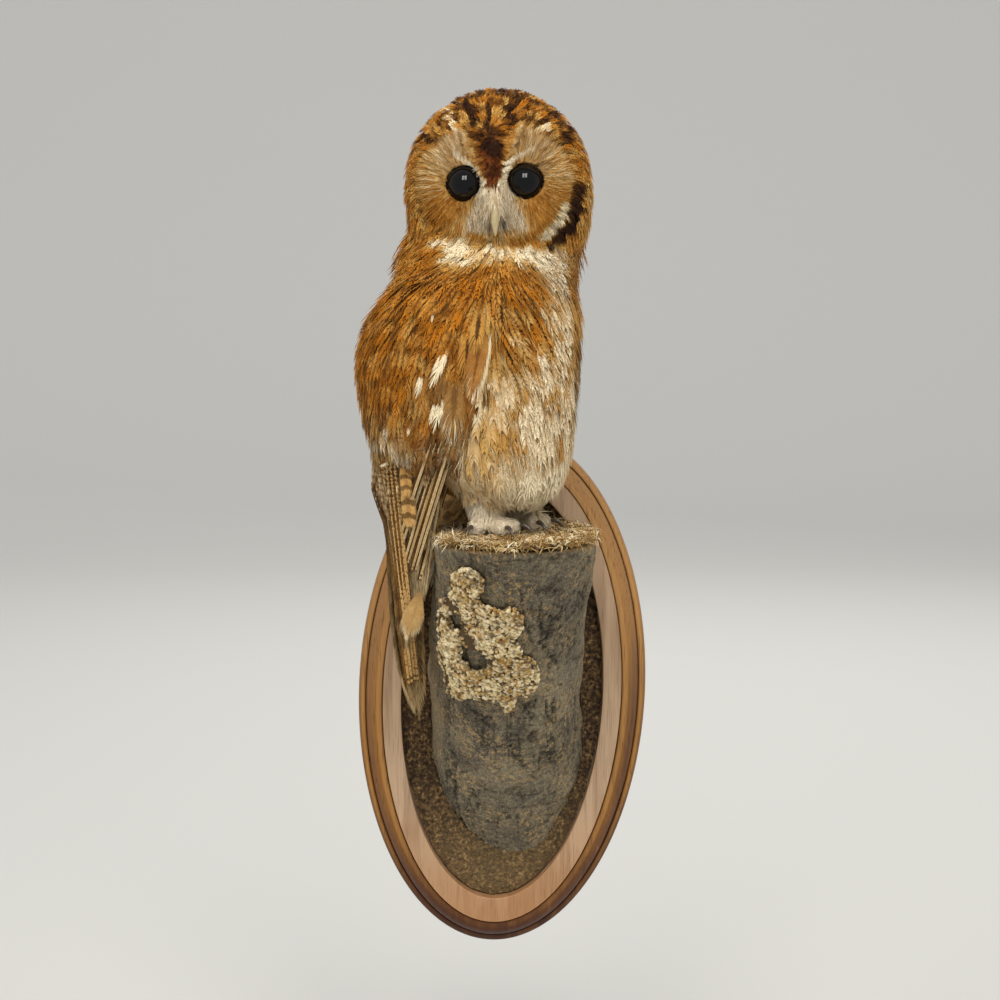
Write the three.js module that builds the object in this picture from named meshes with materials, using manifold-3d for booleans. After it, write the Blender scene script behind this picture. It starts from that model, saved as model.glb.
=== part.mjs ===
// A mounted tawny owl that stands on a log, which leans out of an oval wall plaque.
// Millimetres, +Z up. The wall is the plane y = 0, and the viewer stands on the -Y side.
// The owl is built facing -Y in a frame of its own, with its feet at that frame's origin in plan,
// and is then turned about Z. Its own right side is at -X in that frame.
import * as THREE from "three";
import Module from "manifold-3d";
import { mergeVertices } from "three/addons/utils/BufferGeometryUtils.js";

const wasm = await Module();
wasm.setup();

const { sin, cos, PI, sqrt, exp, log: ln, abs, max, min, hypot } = Math;
const degrees = PI / 180;

// ---------------------------------------------------------------- driving dimensions
const gap = 0.3; // between pieces that touch
const plaque = {
  halfWidth: 96.3,
  halfHeight: 173.7,
  thickness: 22,
  tilt: 2.6 * degrees, // hangs a little off plumb, top to the right
  mouldingWidth: 17, // from the outer edge to the flat band
  wellHalfWidth: 67.3,
  wellHalfHeight: 140.5,
  wellFloor: 10, // from the wall to the bottom of the well
  segments: 38,
};
const ground = { rise: 3.4, mound: 3, rings: 4, segments: 28 };
const log = {
  radius: 50,
  lean: 35.7 * degrees, // out of the wall's plane
  swell: 3.4, // thicker where it meets the plaque
  bow: 4.5, // bends to the viewer's left half way down
  top: new THREE.Vector3(8, -111, 116.5), // middle of the level cut
  length: 280,
  segments: 26,
  rings: 14,
};
const crust = { rise: 4.5, overhang: 1.8, segments: 26 }; // lichen on the level cut
// Lobes of the lichen on the log's front: middle across and up, half width, half height.
const lichen = {
  rise: 5.5,
  lobes: [
    [-21.5, 94, 12, 12.5],
    [-27, 80.5, 11, 8],
    [-13.5, 64, 13.5, 18.5],
    [3.5, 68, 11.5, 12],
    [1, 46, 13.5, 13],
    [13.5, 30, 12, 16],
    [-7.5, 22, 18, 13.5],
    [4.5, 9.5, 5.5, 8],
    [-33, 46, 8, 19],
    [-27, 24, 10, 16.5],
    [-36, 66, 4.5, 12],
  ],
};

const owl = {
  stand: new THREE.Vector3(0, -115, 0), // between the feet, in plan
  heading: 50 * degrees, // breast turned to the viewer's right
  neckCut: 277, // height of the cut between trunk and neck
  ringPoints: 24,
};
// Height, middle's distance behind the feet, half width, reach to the breast and to the back.
const torso = smoothTable([
  [136, 5, 24, 28, 24],
  [141, 9, 35, 43, 34],
  [151, 14, 43, 54, 48],
  [170, 22, 54, 66, 57],
  [195, 27, 61, 73, 63],
  [220, 29, 65, 76, 66],
  [245, 26, 64, 73, 65],
  [262, 21, 61, 67, 62],
  [277, 15, 58.5, 60, 58],
  [290, 12, 56, 56, 56],
]);
const belly = { lift: 13, towards: -100 * degrees, upTo: 168 }; // its edge rises over the right leg
// Height, middle across and behind, half width, reach forward and back, square to the wall.
const ruff = smoothTable([
  [277, -10.6, -105.5, 59.2, 57, 59],
  [285, -9, -107, 57.5, 52, 56],
  [298, -6.5, -108.5, 58, 44.5, 54],
  [306, -5.5, -109.5, 56.5, 37, 52],
  [313, -5, -110, 47, 28, 42],
]);
const head = {
  centre: new THREE.Vector3(-2.2, -110, 335),
  yaw: -4 * degrees,
  roll: -2.2 * degrees,
  halfWidth: 59.2,
  halfDepth: 53,
  up: 61,
  down: 49,
  faceReach: 42, // from the middle to the face's plane
  discHalfWidth: 50,
  discHalfHeight: 37,
  discMiddle: 2, // above the head's middle
  rings: 15,
  ringPoints: 28,
};
const eye = { radius: 10.8, apart: 36.4, above: 2.6, reach: 30.4 };
const bill = { above: -9, reach: 41, length: 20.5, width: 8.6 };
// Wing's coverts: height, then the angles round the torso of the front and back edges.
const wing = {
  edges: smoothTable([
    [150, -88, -140],
    [166, -70, -160],
    [185, -57, -168],
    [210, -48, -170],
    [243, -44, -166],
    [264, -46, -150],
    [277, -60, -122],
  ]),
  bottom: 151,
  top: 276.5,
  thickness: 5.2,
  fullness: 4, // more of it low down, over the secondaries
  rows: 10,
  columns: 9,
};
// Folded flight feathers: height, sideways, behind the feet, half width, half thickness.
const rightFlight = smoothTable([
  [43, 22, 57, 6, 2],
  [54, 22, 57, 9.5, 2.8],
  [78, 24, 55, 12, 3.4],
  [103, 28, 50, 14, 3.8],
  [128, 37.5, 43, 20.5, 4.4],
  [142, 43, 41, 27, 5],
  [160, 50, 38, 31, 5],
  [178, 57, 37, 25, 4.5],
  [194, 61, 36, 13, 3],
]);
const leftFlight = smoothTable([
  [50, 19, 91, 5, 2],
  [60, 20, 90, 9, 2.8],
  [85, 24, 87, 12, 3.4],
  [110, 31, 80, 14, 4],
  [128, 37, 71, 16, 4.6],
  [144, 44, 58, 20, 5],
  [162, 51, 44, 27, 5],
  [178, 57, 39, 24, 4.5],
  [194, 61, 36, 13, 3],
]);
const flightCut = 155; // where the coverts end and the flight feathers show alone
// Height, distance behind the feet, half width, half thickness.
const tail = smoothTable([
  [-3, 71, 3.5, 1.6],
  [3, 73.5, 9, 2.4],
  [12, 76.5, 12, 3],
  [39, 82, 14, 4],
  [64, 84.5, 15.5, 4.4],
  [90, 85, 17, 5],
  [115, 85, 19, 5.6],
  [140, 83, 21, 6.6],
  [165, 73, 22, 8],
  [185, 60, 21, 9],
]);
const leg = { radius: 11, top: 172, ankle: 133.5 };
const foot = { toeLength: 24, toeRadius: 5.4, clawLength: 13, clawRadius: 2.3 };
// Ankle and hip of each leg, in the owl's frame.
const feet = {
  right: { ankle: new THREE.Vector3(-12, 3, 0), hip: new THREE.Vector3(-16, 13, 0) },
  left: { ankle: new THREE.Vector3(16, 4, 0), hip: new THREE.Vector3(19, 12, 0) },
};

// ---------------------------------------------------------------- materials
const finish = (name, color, roughness, metalness = 0) =>
  new THREE.MeshStandardMaterial({ name, color, roughness, metalness });
const finishes = {
  walnut: finish("walnut", 0x8a5a36, 0.42),
  mulch: finish("mulch", 0x3b2719, 0.95),
  bark: finish("bark", 0x56524a, 0.92),
  lichen: finish("lichen", 0xb49a6c, 0.95),
  rufous: finish("rufous", 0xa5672a, 0.85),
  breast: finish("breast", 0xcdb58a, 0.9),
  flight: finish("flight", 0x9b7a4d, 0.8),
  cream: finish("cream", 0xd8ccb0, 0.92),
  horn: finish("horn", 0xc9b473, 0.4),
  claw: finish("claw", 0x2c2722, 0.4),
  glass: finish("glass", 0x070605, 0.05),
};

const model = new THREE.Group();

// ---------------------------------------------------------------- small tools
// A smooth function through the rows of a table; the first column is the key.
function smoothTable(rows) {
  const slope = (i, k) => {
    const a = rows[max(i - 1, 0)];
    const b = rows[min(i + 1, rows.length - 1)];
    return (b[k] - a[k]) / (b[0] - a[0]);
  };
  return (key) => {
    const t = min(max(key, rows[0][0]), rows[rows.length - 1][0]);
    const i = max(rows.findIndex((row) => row[0] >= t) - 1, 0);
    const [a, b] = [rows[i], rows[i + 1]];
    const span = b[0] - a[0];
    const s = (t - a[0]) / span;
    return a.slice(1).map((value, n) => {
      const k = n + 1;
      const [s2, s3] = [s * s, s * s * s];
      return (
        (2 * s3 - 3 * s2 + 1) * value +
        (s3 - 2 * s2 + s) * span * slope(i, k) +
        (3 * s2 - 2 * s3) * b[k] +
        (s3 - s2) * span * slope(i + 1, k)
      );
    });
  };
}

const steps = (count, from, to) =>
  Array.from({ length: count }, (_, i) => from + ((to - from) * i) / (count - 1));

// A ring of points, one for each of count angles.
const around = (count, at) => Array.from({ length: count }, (_, i) => at((2 * PI * i) / count));

// From 0 at one value to 1 at another, which may be the smaller.
function smoothstep(from, to, value) {
  const t = min(max((value - from) / (to - from), 0), 1);
  return t * t * (3 - 2 * t);
}

// A closed geometry over rings of equal count, with each end drawn to its middle.
function closedLoft(rings) {
  const count = rings[0].length;
  const middle = (ring) =>
    ring.reduce((sum, p) => sum.add(p), new THREE.Vector3()).divideScalar(count);
  const points = [...rings.flat(), middle(rings[0]), middle(rings[rings.length - 1])];
  const first = rings.length * count;
  const faces = [];
  for (let r = 0; r < rings.length - 1; r++)
    for (let i = 0; i < count; i++) {
      const [a, b] = [r * count + i, r * count + ((i + 1) % count)];
      faces.push(a, b, b + count, a, b + count, a + count);
    }
  for (let i = 0; i < count; i++) {
    const j = (i + 1) % count;
    const last = (rings.length - 1) * count;
    faces.push(first, j, i, first + 1, last + i, last + j);
  }
  const geometry = new THREE.BufferGeometry();
  const numbers = points.flatMap((p) => [...p]);
  geometry.setAttribute("position", new THREE.Float32BufferAttribute(numbers, 3));
  geometry.setIndex(faces);
  return geometry;
}

// A manifold-3d solid with its faces outwards.
function solid(geometry) {
  const plain = new THREE.BufferGeometry();
  plain.setAttribute("position", geometry.getAttribute("position"));
  plain.setIndex(geometry.getIndex());
  const merged = mergeVertices(plain, 1e-3);
  const build = (triVerts) =>
    new wasm.Manifold(
      new wasm.Mesh({ numProp: 3, vertProperties: merged.attributes.position.array, triVerts }),
    );
  const faces = new Uint32Array(merged.index.array);
  const made = build(faces);
  if (made.volume() > 0) return made;
  for (let i = 0; i < faces.length; i += 3) [faces[i], faces[i + 1]] = [faces[i + 1], faces[i]];
  return build(faces);
}

function geometryOf(made) {
  const mesh = made.getMesh();
  const positions = new Float32Array(mesh.numVert * 3);
  for (let i = 0; i < mesh.numVert; i++)
    positions.set(mesh.vertProperties.subarray(i * mesh.numProp, i * mesh.numProp + 3), i * 3);
  const geometry = new THREE.BufferGeometry();
  geometry.setAttribute("position", new THREE.BufferAttribute(positions, 3));
  geometry.setIndex(new THREE.BufferAttribute(new Uint32Array(mesh.triVerts), 1));
  geometry.computeVertexNormals();
  return geometry;
}

// Keeps the largest body, in case a cut leaves a crumb.
function largest(made) {
  return made.decompose().reduce((best, body) => (body.volume() > best.volume() ? body : best));
}

function add(name, made, material) {
  const mesh = new THREE.Mesh(geometryOf(largest(made).simplify(0.06)), finishes[material]);
  mesh.name = name;
  model.add(mesh);
}

// A box that holds everything on one side of a height.
function slab(low, high) {
  const box = new THREE.BoxGeometry(600, 600, high - low);
  return solid(box.translate(0, 0, (low + high) / 2));
}

// A tapering tube along points, with one radius for each.
function limb(points, radii, count = 10) {
  const curve = new THREE.CatmullRomCurve3(points);
  const frames = curve.computeFrenetFrames(points.length - 1);
  const rings = points.map((p, k) =>
    around(count, (angle) =>
      p
        .clone()
        .addScaledVector(frames.normals[k], radii[k] * cos(angle))
        .addScaledVector(frames.binormals[k], radii[k] * sin(angle)),
    ),
  );
  return solid(closedLoft(rings));
}

const toWorld = new THREE.Matrix4()
  .makeTranslation(owl.stand.x, owl.stand.y, owl.stand.z)
  .multiply(new THREE.Matrix4().makeRotationZ(owl.heading));
// A solid of the owl's own frame, stood on the log.
const stood = (made) => made.transform(toWorld.elements.slice());

// ---------------------------------------------------------------- plaque, ground and log
function ovalRing(halfWidth, halfHeight, y, count = plaque.segments) {
  const up = new THREE.Vector3(0, 1, 0);
  return around(count, (angle) => {
    const point = new THREE.Vector3(halfWidth * cos(angle), -y, halfHeight * sin(angle));
    return point.applyAxisAngle(up, plaque.tilt);
  });
}

function plaqueSolid() {
  const full = plaque.thickness;
  // Inset from the outer edge, and distance from the wall: side, bead, groove, round, band.
  const moulding = [
    [0, 0],
    [0, 7],
    [0.7, 9.4],
    [2.4, 10.8],
    [4.4, 11],
    [5.1, 10.3],
    [5.6, 13.2],
    [7.2, 17],
    [9.8, 19.8],
    [13, 21.2],
    [16, 21.5],
    [16.6, 20.9],
    [plaque.mouldingWidth, full],
  ];
  const rings = moulding.map(([inset, y]) =>
    ovalRing(plaque.halfWidth - inset, plaque.halfHeight - inset, y),
  );
  rings.push(ovalRing(plaque.wellHalfWidth, plaque.wellHalfHeight, full));
  rings.push(ovalRing(plaque.wellHalfWidth, plaque.wellHalfHeight, plaque.wellFloor));
  return solid(closedLoft(rings));
}

function groundSolid() {
  const floor = plaque.wellFloor + gap;
  const [a, b] = [plaque.wellHalfWidth - 2 * gap, plaque.wellHalfHeight - 2 * gap];
  const ring = (share, height) => ovalRing(a * share, b * share, floor + height, ground.segments);
  const surface = steps(ground.rings, 1, 0.2).map((share) =>
    ring(share, ground.rise + ground.mound * (1 - share)),
  );
  return solid(closedLoft([ring(0.5, 0), ring(1, 0), ...surface]));
}

// The log's radius at a share of its length and an angle round it, with slow swells.
function logRadius(share, angle) {
  return (
    log.radius +
    log.swell * smoothstep(-0.35, -0.85, share) +
    1.1 * sin(3 * angle + 5 * share) +
    0.8 * sin(5 * angle - 9 * share) +
    0.9 * sin(2 * angle + 14 * share)
  );
}

function logSolid(grow = 0) {
  const along = new THREE.Vector3(0, -sin(log.lean), cos(log.lean));
  const out = new THREE.Vector3(0, -cos(log.lean), -sin(log.lean));
  const side = new THREE.Vector3(1, 0, 0);
  const above = 60; // past the level cut
  const rings = steps(log.rings, -log.length, above).map((distance) =>
    around(log.segments, (angle) => {
      const radius = logRadius(distance / log.length, angle) + grow;
      const bend = log.bow * sin((PI * max(min(-distance, log.length), 0)) / log.length);
      return log.top
        .clone()
        .addScaledVector(along, distance)
        .addScaledVector(side, radius * cos(angle) - bend)
        .addScaledVector(out, radius * sin(angle));
    }),
  );
  return solid(closedLoft(rings)).subtract(slab(log.top.z + grow, log.top.z + 200));
}

// Everything in front of a distance from the wall.
function inFront(distance) {
  const box = new THREE.BoxGeometry(600, 400, 1200);
  return solid(box.translate(0, -200 - distance, 0));
}

function crustSolid() {
  const depth = 1 / cos(log.lean);
  const ring = (grow, z, wave) =>
    around(crust.segments, (angle) => {
      const radius = log.radius + grow + wave * (sin(7 * angle) + sin(11 * angle + 1));
      return new THREE.Vector3(
        log.top.x + radius * cos(angle),
        log.top.y + radius * depth * sin(angle),
        z,
      );
    });
  const base = log.top.z + gap;
  return solid(
    closedLoft([
      ring(-8, base, 0),
      ring(0, base, 0.4),
      ring(crust.overhang, base + crust.rise * 0.45, 0.7),
      ring(0.5, base + crust.rise * 0.9, 0.6),
      ring(-7, base + crust.rise, 0.3),
    ]),
  );
}

// A patch of crusty lichen wrapped on the log's front: round lobes pushed back onto it.
function lichenSolid() {
  const lobes = lichen.lobes.map(([across, up, halfWidth, halfHeight]) => {
    const disc = new THREE.CylinderGeometry(1, 1, 160, 11).scale(halfWidth, 1, halfHeight);
    return solid(disc.translate(across, -80, up));
  });
  const reach = lobes.reduce((sum, lobe) => sum.add(lobe));
  return logSolid(lichen.rise).subtract(logSolid(gap)).intersect(reach).intersect(inFront(50));
}

// ---------------------------------------------------------------- owl
// A point on the torso at a height and an angle: 0 is the breast, 90 the owl's own left.
function torsoPoint(height, angle, grow = 0) {
  const [behind, side, front, back] = torso(height);
  const reach = cos(angle) > 0 ? front : back;
  const low = smoothstep(belly.upTo, 136, height);
  const lift = belly.lift * low * max(cos(angle - belly.towards), 0) ** 2;
  return new THREE.Vector3(
    (side + grow) * sin(angle),
    behind - (reach + grow) * cos(angle),
    height + lift,
  );
}

function torsoSolid(grow = 0) {
  const rings = steps(13, 136, 290).map((height) =>
    around(owl.ringPoints, (angle) => torsoPoint(height, angle, grow)),
  );
  return solid(closedLoft(rings));
}

// The ruff between trunk and head, square to the wall at its top like the face.
function neckSolid(grow = 0) {
  const ring = (height) => {
    const [across, behind, halfWidth, front, back] = ruff(height);
    return around(owl.ringPoints, (angle) => {
      const reach = cos(angle) > 0 ? front : back;
      return new THREE.Vector3(
        across + (halfWidth + grow) * sin(angle),
        behind - (reach + grow) * cos(angle),
        height,
      );
    });
  };
  return solid(closedLoft(steps(6, owl.neckCut + gap / 2, 313).map(ring)));
}

// One wing's coverts: a curved pad over the torso's side. side is -1 for the right wing.
function covertSolid(side) {
  const row = (height, outer) => {
    const [front, back] = wing.edges(height);
    const rise = smoothstep(wing.top + 1, wing.top - 34, height);
    const depth = wing.thickness + wing.fullness * smoothstep(215, 170, height);
    return steps(wing.columns, front, back).map((degree, i) => {
      const across = i / (wing.columns - 1);
      const bulge = sqrt(sin(PI * min(max(across, 0.02), 0.98)));
      const lift = outer ? 1.5 + depth * bulge * (0.25 + 0.75 * rise) : -5;
      const point = torsoPoint(height, degree * degrees, lift);
      return new THREE.Vector3(-side * point.x, point.y, point.z);
    });
  };
  const heights = steps(wing.rows, wing.bottom, wing.top);
  const rings = heights.map((height) => [...row(height, false), ...row(height, true).reverse()]);
  return solid(closedLoft(rings));
}

// A folded stack of flight feathers, flat against the side. side is -1 for the right.
function flightSolid(shape, side, low, high) {
  const count = 12;
  const rings = steps(11, low, high).map((height) => {
    const [apart, behind, halfWidth, halfThickness] = shape(height);
    return around(count, (angle) => {
      const across = apart + halfThickness * cos(angle);
      return new THREE.Vector3(side * across, behind + halfWidth * sin(angle), height);
    });
  });
  return solid(closedLoft(rings));
}

function tailSolid(grow = 0) {
  const count = 12;
  const rings = steps(12, -3, 185).map((height) => {
    const [behind, halfWidth, halfThickness] = tail(height);
    return around(count, (angle) => {
      const across = (halfWidth + grow) * cos(angle);
      const back = behind + (halfThickness + grow) * sin(angle);
      return new THREE.Vector3(across, back, height);
    });
  });
  return solid(closedLoft(rings));
}

// How far the face stands forward of the head's middle, at x and z from that middle.
function faceReach(x, z) {
  const up = z - head.discMiddle;
  const dish = (side) =>
    exp(-((x - (side * eye.apart) / 2) ** 2 + (z - eye.above) ** 2) / (2 * 15 ** 2));
  const ridge = exp(-(x ** 2) / (2 * 6.5 ** 2)) * smoothstep(-34, -14, z);
  const rim = hypot(x / head.discHalfWidth, up / head.discHalfHeight);
  return (
    head.faceReach -
    0.0036 * x * x -
    0.0042 * up * up -
    5.5 * (dish(-1) + dish(1)) +
    4.5 * ridge +
    2.5 * exp(-((rim - 1) ** 2) / (2 * 0.12 ** 2))
  );
}

// The head in its own frame, facing -Y: a dome whose front is pressed flat into the two discs.
function headSolid(grow = 0) {
  const polar = (tilt, turn) => {
    const direction = new THREE.Vector3(
      sin(tilt) * cos(turn),
      -cos(tilt),
      sin(tilt) * sin(turn),
    );
    // Round above, and fuller below, where the cheeks run into the ruff.
    const power = 2 + 1.2 * smoothstep(0, 0.7, -direction.z);
    const [x, y, z] = [...direction].map((part) => abs(part) ** power);
    const stretch = (x + y + z) ** (-1 / power);
    const point = new THREE.Vector3(
      stretch * direction.x * head.halfWidth,
      stretch * direction.y * head.halfDepth,
      stretch * direction.z * (direction.z > 0 ? head.up : head.down),
    );
    const face = faceReach(point.x, point.z);
    const reach = -point.y;
    if (reach > 0) {
      const soft = 3; // how gently the face turns into the dome
      point.y = soft * ln(exp(-reach / soft) + exp(-face / soft));
    }
    return point.addScaledVector(point.clone().normalize(), grow);
  };
  const rings = steps(head.rings, 0.035, PI - 0.05).map((tilt) =>
    around(head.ringPoints, (turn) => polar(tilt, turn)),
  );
  return solid(closedLoft(rings));
}

const headMatrix = new THREE.Matrix4()
  .makeTranslation(head.centre.x, head.centre.y, head.centre.z)
  .multiply(new THREE.Matrix4().makeRotationZ(head.yaw))
  .multiply(new THREE.Matrix4().makeRotationY(head.roll));
const turned = (made) => made.transform(headMatrix.elements.slice());

function eyeSolid(side, grow = 0) {
  const ball = new THREE.SphereGeometry(eye.radius + grow, 14, 9);
  return solid(ball.translate((side * eye.apart) / 2, -eye.reach, eye.above));
}

function billSolid(grow = 0) {
  const profile = [
    [1, 1],
    [-4, -1],
    [-7.6, -6],
    [-8.4, -13],
    [-6.6, -bill.length],
  ];
  const points = profile.map(
    ([forward, up]) => new THREE.Vector3(0, forward - bill.reach, bill.above + up),
  );
  const radii = [1.2, 1.1, 0.9, 0.58, 0.13].map((share) => (share * bill.width) / 2 + grow);
  return limb(points, radii, 10);
}

// A feathered shank from the hip, which the belly hides, down to the ankle.
function legSolid({ ankle, hip }, grow = 0) {
  const [top, bottom] = [hip.clone().setZ(leg.top), ankle.clone().setZ(leg.ankle)];
  const points = steps(4, 0, 1).map((share) => top.clone().lerp(bottom, share));
  return limb(points, [15, 14.5, 13, leg.radius].map((r) => r + grow), 12);
}

// Toes spread forward, outward and back, as the directions from the ankle in plan.
const toes = { right: [-20, 12, -74, 150], left: [20, -12, 74, -150] };
const toeShare = [1, 0.96, 0.82, 0.6];
const sole = log.top.z + gap + crust.rise + gap;

function toePoints(at, degree, share) {
  const out = new THREE.Vector3(sin(degree * degrees), -cos(degree * degrees), 0);
  const heights = [7.6, 6.6, 5.9, 5.7];
  return heights.map((height, k) =>
    at
      .clone()
      .addScaledVector(out, (k / (heights.length - 1)) * foot.toeLength * share)
      .setZ(sole + height),
  );
}

function toeSolid(at, degree, share) {
  const radius = foot.toeRadius;
  return limb(toePoints(at, degree, share), [6.6, radius + 0.6, radius, radius - 1], 6);
}

function footSolid(name) {
  const at = feet[name].ankle;
  const ankle = limb(
    [at.clone().setZ(sole + 5), at.clone().setZ(sole + 9), at.clone().setZ(leg.ankle - gap)],
    [8.6, 10, leg.radius - 0.8],
    12,
  );
  const spread = toes[name].map((degree, k) => toeSolid(at, degree, toeShare[k]));
  return spread.reduce((sum, toe) => sum.add(toe), ankle);
}

function clawSolid(at, degree, share) {
  const out = new THREE.Vector3(sin(degree * degrees), -cos(degree * degrees), 0);
  const start = foot.toeLength * share + 2 * gap;
  const bend = [0, 0.35, 0.7, 1];
  const points = bend.map((t) =>
    at
      .clone()
      .addScaledVector(out, start + foot.clawLength * 0.8 * t)
      .setZ(sole + 6.4 + 1.2 * sin(t * PI) - 5.6 * t * t),
  );
  const radii = [1, 0.86, 0.6, 0.14].map((r) => r * foot.clawRadius);
  return limb(points, radii, 6);
}

// ---------------------------------------------------------------- assembly
const well = solid(closedLoft([ovalRing(200, 300, plaque.wellFloor + gap), ovalRing(200, 300, 400)]));
add("plaque", plaqueSolid(), "walnut");
add("ground", groundSolid().subtract(logSolid(gap)), "mulch");
add("log", logSolid().intersect(well), "bark");
add("lichen_top", crustSolid(), "lichen");
add("lichen_patch", lichenSolid(), "lichen");

const headWhole = turned(headSolid());
const eyeRoom = turned(eyeSolid(-1, gap).add(eyeSolid(1, gap)));
const legRoom = legSolid(feet.right, gap).add(legSolid(feet.left, gap));
const below = slab(-400, owl.neckCut - gap / 2);
const torsoRoom = torsoSolid(gap);
const tailRoom = tailSolid(gap);

add("head", headWhole.subtract(eyeRoom).subtract(turned(billSolid(gap))), "rufous");
add("neck", neckSolid().subtract(turned(headSolid(gap))), "rufous");
add("trunk", stood(torsoSolid().intersect(below).subtract(legRoom)), "breast");
add("eye_right", turned(eyeSolid(-1)), "glass");
add("eye_left", turned(eyeSolid(1)), "glass");
add("bill", turned(billSolid()), "horn");

const flightsBelow = slab(-400, flightCut - gap / 2);
const covertsAbove = slab(flightCut + gap / 2, 800);
for (const [name, side, shape, tip] of [
  ["right", -1, rightFlight, 43],
  ["left", 1, leftFlight, 50],
]) {
  const stack = flightSolid(shape, side, tip, 193);
  const whole = covertSolid(side).add(stack).subtract(torsoRoom).subtract(tailRoom);
  add("wing_" + name, stood(largest(whole.intersect(covertsAbove))), "rufous");
  add("primaries_" + name, stood(largest(whole.intersect(flightsBelow))), "flight");
}
add("tail", stood(tailSolid().subtract(torsoRoom)), "flight");

for (const name of ["right", "left"]) {
  const whole = footSolid(name).subtract(legSolid(feet[name], gap));
  add("leg_" + name, stood(legSolid(feet[name])), "cream");
  add("foot_" + name, stood(whole), "cream");
  toes[name].forEach((degree, k) => {
    const claw = clawSolid(feet[name].ankle, degree, toeShare[k]);
    add("claw_" + name + "_" + (k + 1), stood(claw), "claw");
  });
}

export default model;
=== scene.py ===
import math
import bpy
import bmesh
import numpy as np
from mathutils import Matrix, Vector
from mathutils.bvhtree import BVHTree
from mathutils.kdtree import KDTree


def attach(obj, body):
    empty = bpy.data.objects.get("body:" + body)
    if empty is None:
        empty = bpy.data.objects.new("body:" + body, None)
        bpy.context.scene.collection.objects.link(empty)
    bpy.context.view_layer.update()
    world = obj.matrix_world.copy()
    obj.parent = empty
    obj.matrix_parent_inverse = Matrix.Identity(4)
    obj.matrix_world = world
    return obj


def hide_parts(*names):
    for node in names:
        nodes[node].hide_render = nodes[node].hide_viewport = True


# A mounted tawny owl on a log that leans out of an oval walnut wall plaque.
# Metres, +Z up. The wall is the plane y = 0 and the viewer stands on the -Y side.
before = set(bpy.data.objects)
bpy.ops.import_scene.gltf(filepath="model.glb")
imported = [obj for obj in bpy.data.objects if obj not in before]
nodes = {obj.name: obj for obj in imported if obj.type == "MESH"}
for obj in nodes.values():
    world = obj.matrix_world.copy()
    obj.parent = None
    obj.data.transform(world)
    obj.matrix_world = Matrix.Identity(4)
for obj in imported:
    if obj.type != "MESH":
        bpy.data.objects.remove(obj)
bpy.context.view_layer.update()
mm = 0.001


def unit(v):
    return v / np.maximum(np.linalg.norm(v, axis=-1, keepdims=True), 1e-12)


def ramp(low, high, value):  # 0 at low to 1 at high, eased; low may be the larger
    t = np.clip((value - low) / (high - low), 0, 1)
    return t * t * (3 - 2 * t)


def spot(value, middle, width):  # 1 at the middle, fading over the width
    return np.exp(-(((value - middle) / width) ** 2))


def mixed(first, second, share):  # share is that of the second
    return first * (1 - share) + second * share


def latticeValue(i, j, k, seed):  # a fixed number from 0 to 1 for each cell, hashed in 32 bits
    low = np.uint64(0xFFFFFFFF)
    h = (i * 374761393 + j * 668265263 + k * 1442695041 + seed * 974711).astype(np.uint64) & low
    h = ((h ^ (h >> np.uint64(13))) * np.uint64(1274126177)) & low
    h = h ^ (h >> np.uint64(16))
    return (h & np.uint64(0xFFFFFF)).astype(float) / 0xFFFFFF


def lumps(points, size, seed=0):  # smooth noise from 0 to 1, with lumps of about that size
    q = points / size + 1000.0
    cell = np.floor(q).astype(np.int64)
    f = q - cell
    f = f * f * (3 - 2 * f)
    total = 0
    for corner in np.ndindex(2, 2, 2):
        weight = np.prod(np.abs(1 - np.array(corner) - f), axis=1)
        total = total + weight * latticeValue(*(cell + corner).T, seed)
    return total


def linkObject(name, mesh):
    obj = bpy.data.objects.new(name, mesh)
    bpy.context.scene.collection.objects.link(obj)
    return obj


def readFrom(items, field, width, kind=np.float32):  # one value, or a row of them, for each item
    values = np.empty(len(items) * width, kind)
    items.foreach_get(field, values)
    return values.reshape(-1, width)


def setAttribute(mesh, name, values):  # one number, three or four for each vertex
    kinds = {1: ("FLOAT", "value"), 3: ("FLOAT_VECTOR", "vector"), 4: ("FLOAT_COLOR", "color")}
    kind, field = kinds[1 if values.ndim == 1 else values.shape[1]]
    mesh.attributes.new(name, kind, "POINT").data.foreach_set(field, values.astype(np.float32).ravel())


def meshObject(name, points, triangles, smooth=False, attributes=None, uv=None):
    mesh = bpy.data.meshes.new(name)
    mesh.vertices.add(len(points))
    mesh.vertices.foreach_set("co", points.astype(np.float32).ravel())
    mesh.loops.add(triangles.size)
    mesh.loops.foreach_set("vertex_index", triangles.astype(np.int32).ravel())
    mesh.polygons.add(len(triangles))
    mesh.polygons.foreach_set("loop_start", np.arange(0, triangles.size, 3, dtype=np.int32))
    mesh.polygons.foreach_set("use_smooth", np.full(len(triangles), smooth))
    mesh.update(calc_edges=True)
    for key, values in (attributes or {}).items():
        setAttribute(mesh, key, values)
    if uv is not None:
        corners = uv[triangles.ravel()].astype(np.float32).ravel()
        mesh.uv_layers.new(name="OFBake").data.foreach_set("uv", corners)
    return linkObject(name, mesh)


def pointsOf(mesh):
    return readFrom(mesh.vertices, "co", 3).astype(float)


def normalsOf(mesh):
    return readFrom(mesh.vertex_normals, "vector", 3).astype(float)


def setPoints(mesh, points):
    mesh.vertices.foreach_set("co", points.astype(np.float32).ravel())
    mesh.update()


def reworked(mesh, work, source=None):  # the mesh, or a copy of another, edited by a function of its bmesh
    bm = bmesh.new()
    bm.from_mesh(source or mesh)
    work(bm)
    bm.to_mesh(mesh)
    bm.free()
    return mesh


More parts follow.
